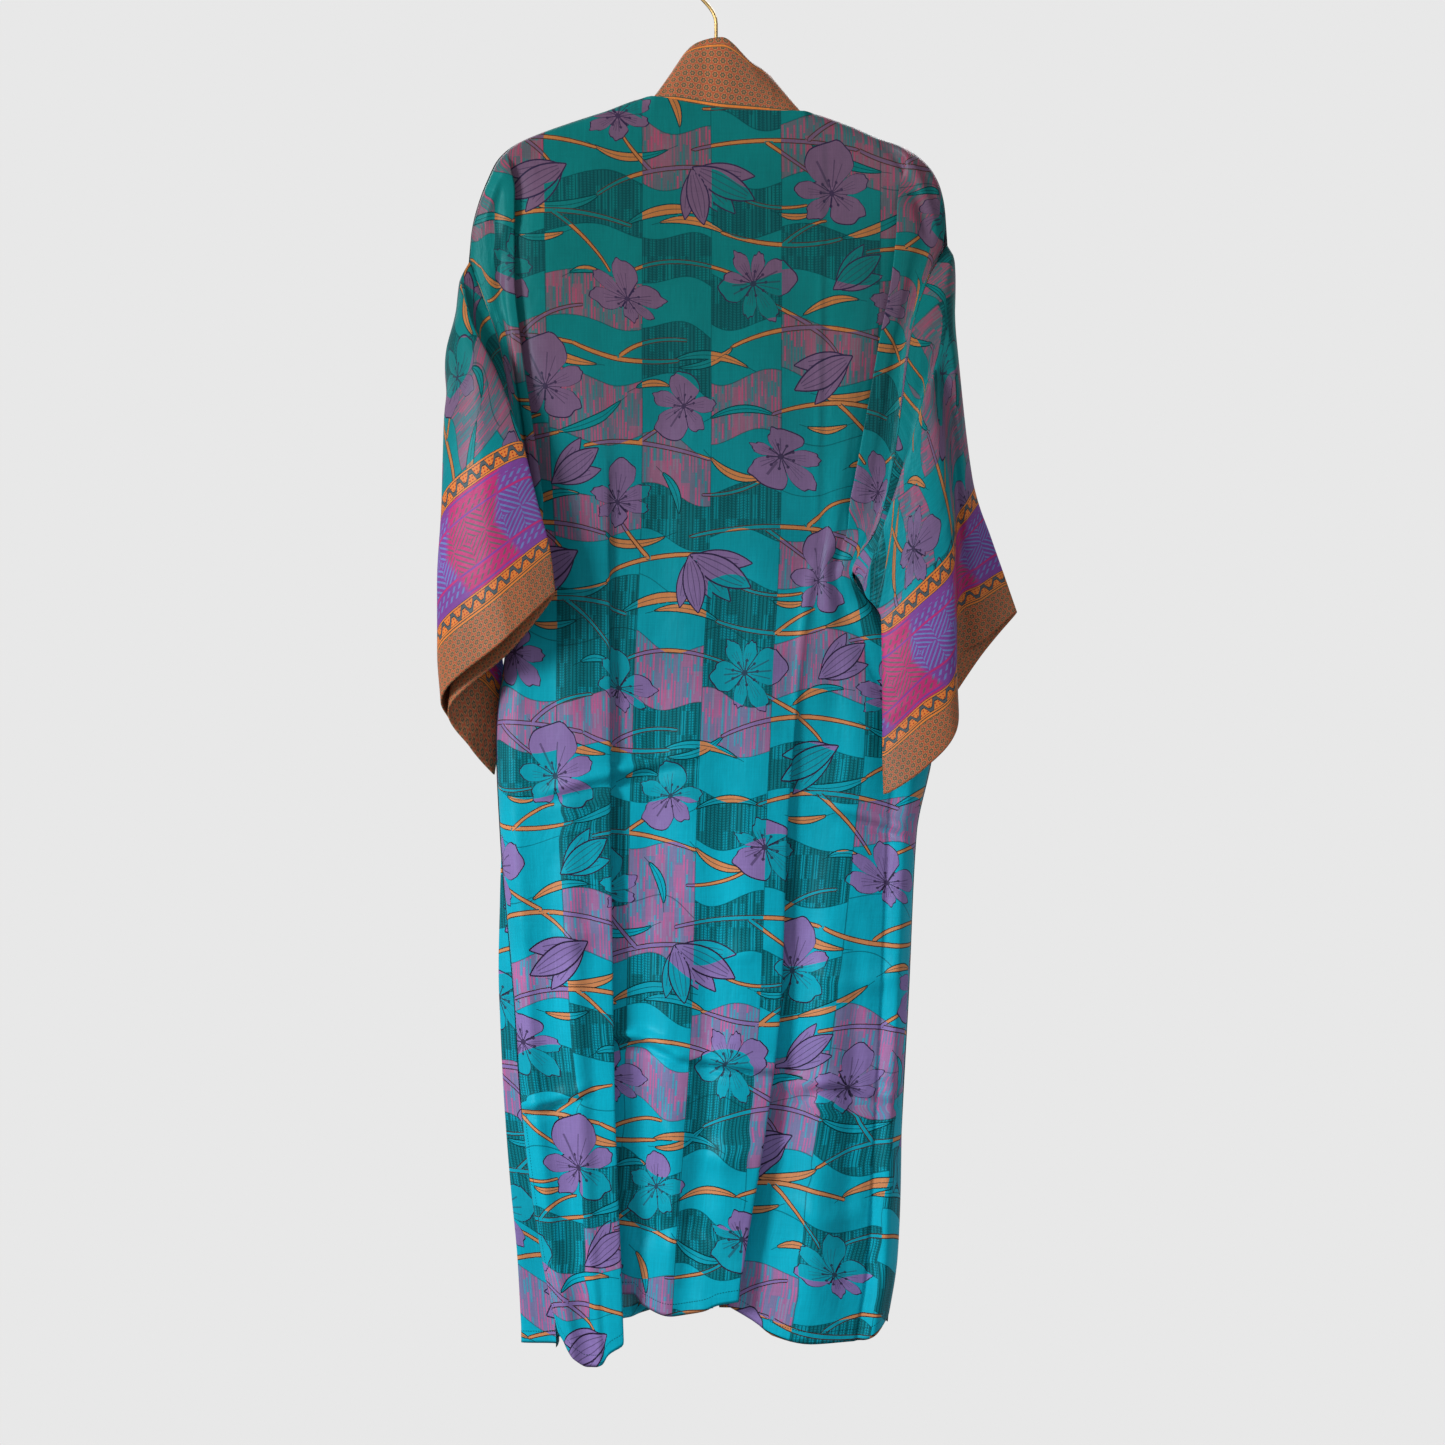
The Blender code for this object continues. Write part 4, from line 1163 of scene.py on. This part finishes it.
def cloth(name, node, points, flats, material, closed=False, flip=False, sewn=None):
    """Builds a sheet from a grid of points, and stores on its faces' corners their places in the flat cloth.

    A sheet that is given its seams is of the printed silk, so its faces also store the motifs on them.
    """
    rows, columns = points.shape[:2]
    count = columns - 1 if closed else columns
    kept = points[:, :count].reshape(-1, 3) * (MM, MM, -MM)
    i, j = grid(np.arange(rows - 1), np.arange(columns - 1))
    k = (j + 1) % count
    quads = stack(i * count + j, i * count + k, (i + 1) * count + k, (i + 1) * count + j)
    if flip:
        quads = quads[..., ::-1]
    mesh = bpy.data.meshes.new(name)
    mesh.from_pydata(kept.tolist(), [], quads.reshape(-1, 4).tolist())
    corners = at_corners(flats, flip)
    fields = {"cloth": corners}
    if sewn is not None:
        fields["sewn"] = at_corners(sewn, flip)
        fields["flower"] = flower_fields(corners[..., :2])
        fields["stem"] = stroke_fields(corners[..., :2], STEMS)
        fields["leaf"] = stroke_fields(corners[..., :2], LEAVES)
    for label, field in fields.items():
        mesh.attributes.new(label, "FLOAT_VECTOR", "CORNER").data.foreach_set("vector", field.ravel())
    mesh.polygons.foreach_set("use_smooth", np.ones(len(mesh.polygons), bool))
    mesh.materials.append(material)
    piece = put(name, mesh)
    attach(piece, "root")
    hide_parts(node)
    return piece


def inside_of(points, towards):
    """The unit directions square to a sheet, on the side where its middle looks towards the given depth."""
    facing = unit(np.cross(np.gradient(points, axis=0), np.gradient(points, axis=1)))
    return facing * np.sign(facing[..., 1].mean() * towards)


def turned(sheet, end):
    """Folds the last rows or columns at an end of the sheet's grid inside it, as a narrow hem."""
    axis, last = end
    edge = np.take(sheet[1], [-1 if last else 0], axis=axis)
    added = []
    for k in range(2, 2 + HEM_ROWS):
        row = [-k if last else k - 1]
        points, flats, sewn, inside = (np.take(whole, row, axis=axis) for whole in sheet)
        added.append((points + inside, 2 * edge - flats, sewn + BEHIND_HEM, inside))
    if not last:
        added.reverse()
    groups = []
    for kind, whole in enumerate(sheet):
        extra = [row[kind] for row in added]
        groups.append(np.concatenate([whole] + extra if last else extra + [whole], axis=axis))
    return groups


def hemmed(points, along, lowered, hem, to_side, towards, ends):
    """A panel's points, flat places and seams, with narrow hems turned inside the given ends."""
    down = points[..., 2]
    flats = stack(along, down + lowered, np.full_like(down, NO_BORDER))
    above_slit = ABOVE_SLIT * (1 - ease(down, SLIT_TOP - 1, SLIT_TOP))
    # Distances from the hem's and the side's stitches, and the down that the print reads for its painted light
    sewn = stack(hem - down - HEM_STITCH, to_side - SLIT_STITCH + above_slit, down)
    sheet = (points, flats, sewn, inside_of(points, towards))
    for end in ends:
        sheet = turned(sheet, end)
    return sheet[:3]


def panel_rows():
    """Places down a panel, closer together where it comes round the hanger's arm."""
    over_arm = np.linspace(0, ROUND_SHARE, ROUND_ROWS)
    return np.concatenate([over_arm[:-1], np.linspace(ROUND_SHARE, 1, BACK_ROWS)])


def back_columns():
    """Places across the back: even, and closer together at each fold."""
    places = np.linspace(0, 1, 4001)
    density = np.ones_like(places)
    for fold in BACK_FOLDS:
        density += FOLD_CROWDING * bell(places, THREADS[fold[0]], 1.2 * fold[4])
    total = np.concatenate([[0.0], np.cumsum(density[1:])])
    return np.interp(np.linspace(0, total[-1], BACK_COLUMNS), total, places)


def dress_back(material):
    """The back panel, with narrow hems turned inside along its foot and both side edges."""
    t, s = grid(panel_rows(), back_columns())
    points = stack(*back_point(s, t))
    run = lengths(points, 1)
    middle = np.argmin(np.abs(s[0] - 0.5))
    along = run - run[:, middle:middle + 1] + BACK_PRINT[0]
    to_side = np.minimum(run, run[:, -1:] - run)
    points, flats, sewn = hemmed(points, along, BACK_PRINT[1], smooth(BACK_HEM, 1, s), to_side, -1,
                                 (FOOT, LAST_EDGE, FIRST_EDGE))
    piece = cloth("back_cloth", "back_panel", points, flats, material, flip=True, sewn=sewn)


def dress_front(side, material):
    """A front, with narrow hems turned inside along its foot and its side edge."""
    name = SIDES[side].name
    t, v = grid(panel_rows(), np.linspace(0, 1, FRONT_COLUMNS) ** FRONT_CROWDING)
    points = stack(*front_point(side, v, t))
    run = lengths(points, 1)
    along = run * -side + FRONT_PRINT[0] * side
    points, flats, sewn = hemmed(points, along, FRONT_PRINT[1], smooth(SIDES[side].hem, 1, v), run, 1,
                                 (FOOT, FIRST_EDGE))
    piece = cloth("front_cloth_" + name, "front_panel_" + name, points, flats, material,
                  flip=side < 0, sewn=sewn)


def dress_sleeve(side, material):
    """A sleeve down to its cuff: a tube of the printed silk."""
    name = SIDES[side].name
    u, v = grid(np.linspace(0, CUFF_SEAM, SLEEVE_ROWS), np.linspace(0, 1, RING_COLUMNS))
    points = sleeve_point(side, u, v % 1.0)
    run, along = lengths(points, 1), lengths(points, 0)
    above_cuff = (CUFF_SEAM - u) * SLEEVE_LENGTH
    flats = stack(along[-1:] - along + SLEEVE_PRINT[0], run + SLEEVE_PRINT[1], above_cuff)
    far = np.full_like(u, NO_STITCH)
    # No stitches on a sleeve; the down is what the print reads for its painted light
    sewn = stack(far, far, points[..., 2])
    piece = cloth("sleeve_cloth_" + name, "sleeve_" + name, points, flats, material,
                  closed=True, sewn=sewn)


def dress_cuff(side, material):
    """A sleeve's tan band: a doubled ring that is open at the cuff's edge."""
    name = SIDES[side].name
    u, v = grid(np.linspace(CUFF_SEAM, 1, CUFF_ROWS), np.linspace(0, 1, RING_COLUMNS))
    outer = sleeve_point(side, u, v % 1.0)
    run = lengths(outer, 1)
    around = np.gradient(outer[:, :-1], axis=1)
    around[:, 0] = around[:, -1] = outer[:, 1] - outer[:, -2]
    facing = unit(np.cross(np.gradient(outer[:, :-1], axis=0), around))
    facing = np.concatenate([facing, facing[:, :1]], axis=1)
    from_middle = outer - outer.mean(axis=1, keepdims=True)
    outward = 1 if (facing * from_middle).sum() > 0 else -1
    inner = outer - facing * outward * CUFF_THICK
    flats = stack(run, run, CUFF - (1 - u) * SLEEVE_LENGTH)
    piece = cloth("cuff_cloth_" + name, "cuff_" + name, np.concatenate([outer, inner[::-1]]),
                  np.concatenate([flats, flats[::-1]]), material, closed=True)


def dress_band(material):
    """The neck band in its three stretches: a long strip folded along its free edge."""
    ends = (0.0, LEFT_JOIN, RIGHT_JOIN, float(len(BAND_STATIONS) - 1))
    for k, name in enumerate(("left", "back", "right")):
        u, v = grid(np.linspace(ends[k], ends[k + 1], BAND_ROWS[k]), np.linspace(0, 1, BAND_COLUMNS))
        low = BAND_TUCK if name == "back" else 0.0
        place = v * (1 + low) - low
        near = band_point(u, place)
        near[..., 1] -= BAND_STEP * (1 - ease(v, 0, 2 * low + 0.01))
        out = unit(np.cross(np.gradient(near, axis=0), near[:, -1:] - near[:, :1]))
        thick = BAND_THICK * np.sqrt(np.clip(1 - np.abs(2 * v - 1) ** BAND_SQUARENESS, 0, 1))[..., None]
        points = np.concatenate([near + out * thick / 2, (near - out * thick / 2)[:, ::-1]], axis=1)
        points = np.concatenate([points, points[:, :1]], axis=1)
        run = lengths(near, 0)
        flats = stack(run, run, place * BAND_WIDTH)
        flats = np.concatenate([flats, flats[:, ::-1], flats[:, :1]], axis=1)
        piece = cloth("neck_band_cloth_" + name, "neck_band_" + name, points, flats, material,
                      closed=True)


def gild(material):
    """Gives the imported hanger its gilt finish."""
    for node in ("hanger_hook", "hanger_arms"):
        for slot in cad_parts[node].material_slots:
            slot.material = material


def dress():
    """All the pieces in their cloth and metal."""
    silk = printed_silk()
    border = border_silk()
    dress_back(silk)
    for side in (1, -1):
        dress_front(side, silk)
        dress_sleeve(side, silk)
        dress_cuff(side, border)
    dress_band(border)
    gild(gold())


# The photograph's view: level with the middle of its frame, 1 mm of the back panel for each of its pixels
VIEW_ACROSS = -6.5
VIEW_DOWN = 767.5
VIEW_FROM = 2625.0
HALF_FRAME = 722.5
BACK_DEPTH = 25.0
SENSOR = 36.0
CLIP_END = 50

# The studio's light: sizes and places in metres, power in watts
BACKDROP_RADIUS = 9.0
BACKDROP = (0.807, 0.807, 0.807)
SURROUND = (0.36, 0.36, 0.37, 1)
LIT_POINT = (0, 0, -0.75)
LIGHTS = (
    # name, place, size, power
    ("key", (2.7, 1.9, 0.1), 0.9, 118),
    ("soft", (-1.6, 3.2, 0.6), 1.8, 22),
    ("front_key", (-1.3, -2.2, 1.9), 1.6, 62),
    ("front_soft", (1.5, -2.4, 1.5), 1.8, 30),
)


def area_light(name, place, size, power):
    """A soft square light that looks at the robe's middle."""
    data = bpy.data.lights.new(name, "AREA")
    data.size = size
    data.energy = power
    lamp = put(name, data)
    lamp.location = place
    lamp.rotation_euler = (Vector(LIT_POINT) - Vector(place)).to_track_quat("-Z", "Y").to_euler()


def surround():
    """The plain pale backdrop: a shell round the studio that is seen, but neither lights nor shades."""
    mesh = bpy.data.meshes.new("backdrop")
    shell = bmesh.new()
    bmesh.ops.create_icosphere(shell, subdivisions=4, radius=BACKDROP_RADIUS)
    shell.to_mesh(mesh)
    shell.free()
    paper = Paper("backdrop_pale")
    paper.set("Base Color", (0, 0, 0))
    paper.set("Specular IOR Level", 0.0)
    paper.set("Emission Color", BACKDROP)
    paper.set("Emission Strength", 1.0)
    mesh.materials.append(paper.material)
    backdrop = put("backdrop", mesh)
    for rays in ("diffuse", "glossy", "transmission", "shadow"):
        setattr(backdrop, "visible_" + rays, False)


def studio():
    """The camera at the photograph's view, a pale surround and soft lights."""
    data = bpy.data.cameras.new("camera")
    data.sensor_width = SENSOR
    data.lens = SENSOR / 2 * (VIEW_FROM - BACK_DEPTH) / HALF_FRAME
    data.clip_end = CLIP_END
    camera = put("camera", data)
    camera.location = (VIEW_ACROSS * MM, VIEW_FROM * MM, -VIEW_DOWN * MM)
    camera.rotation_euler = (math.pi / 2, 0, math.pi)
    bpy.context.scene.camera = camera
    world = bpy.data.worlds.new("surround")
    world.use_nodes = True
    world.node_tree.nodes["Background"].inputs["Color"].default_value = SURROUND
    bpy.context.scene.world = world
    surround()
    bpy.context.scene.view_settings.view_transform = "Standard"
    for light in LIGHTS:
        area_light(*light)


dress()
studio()
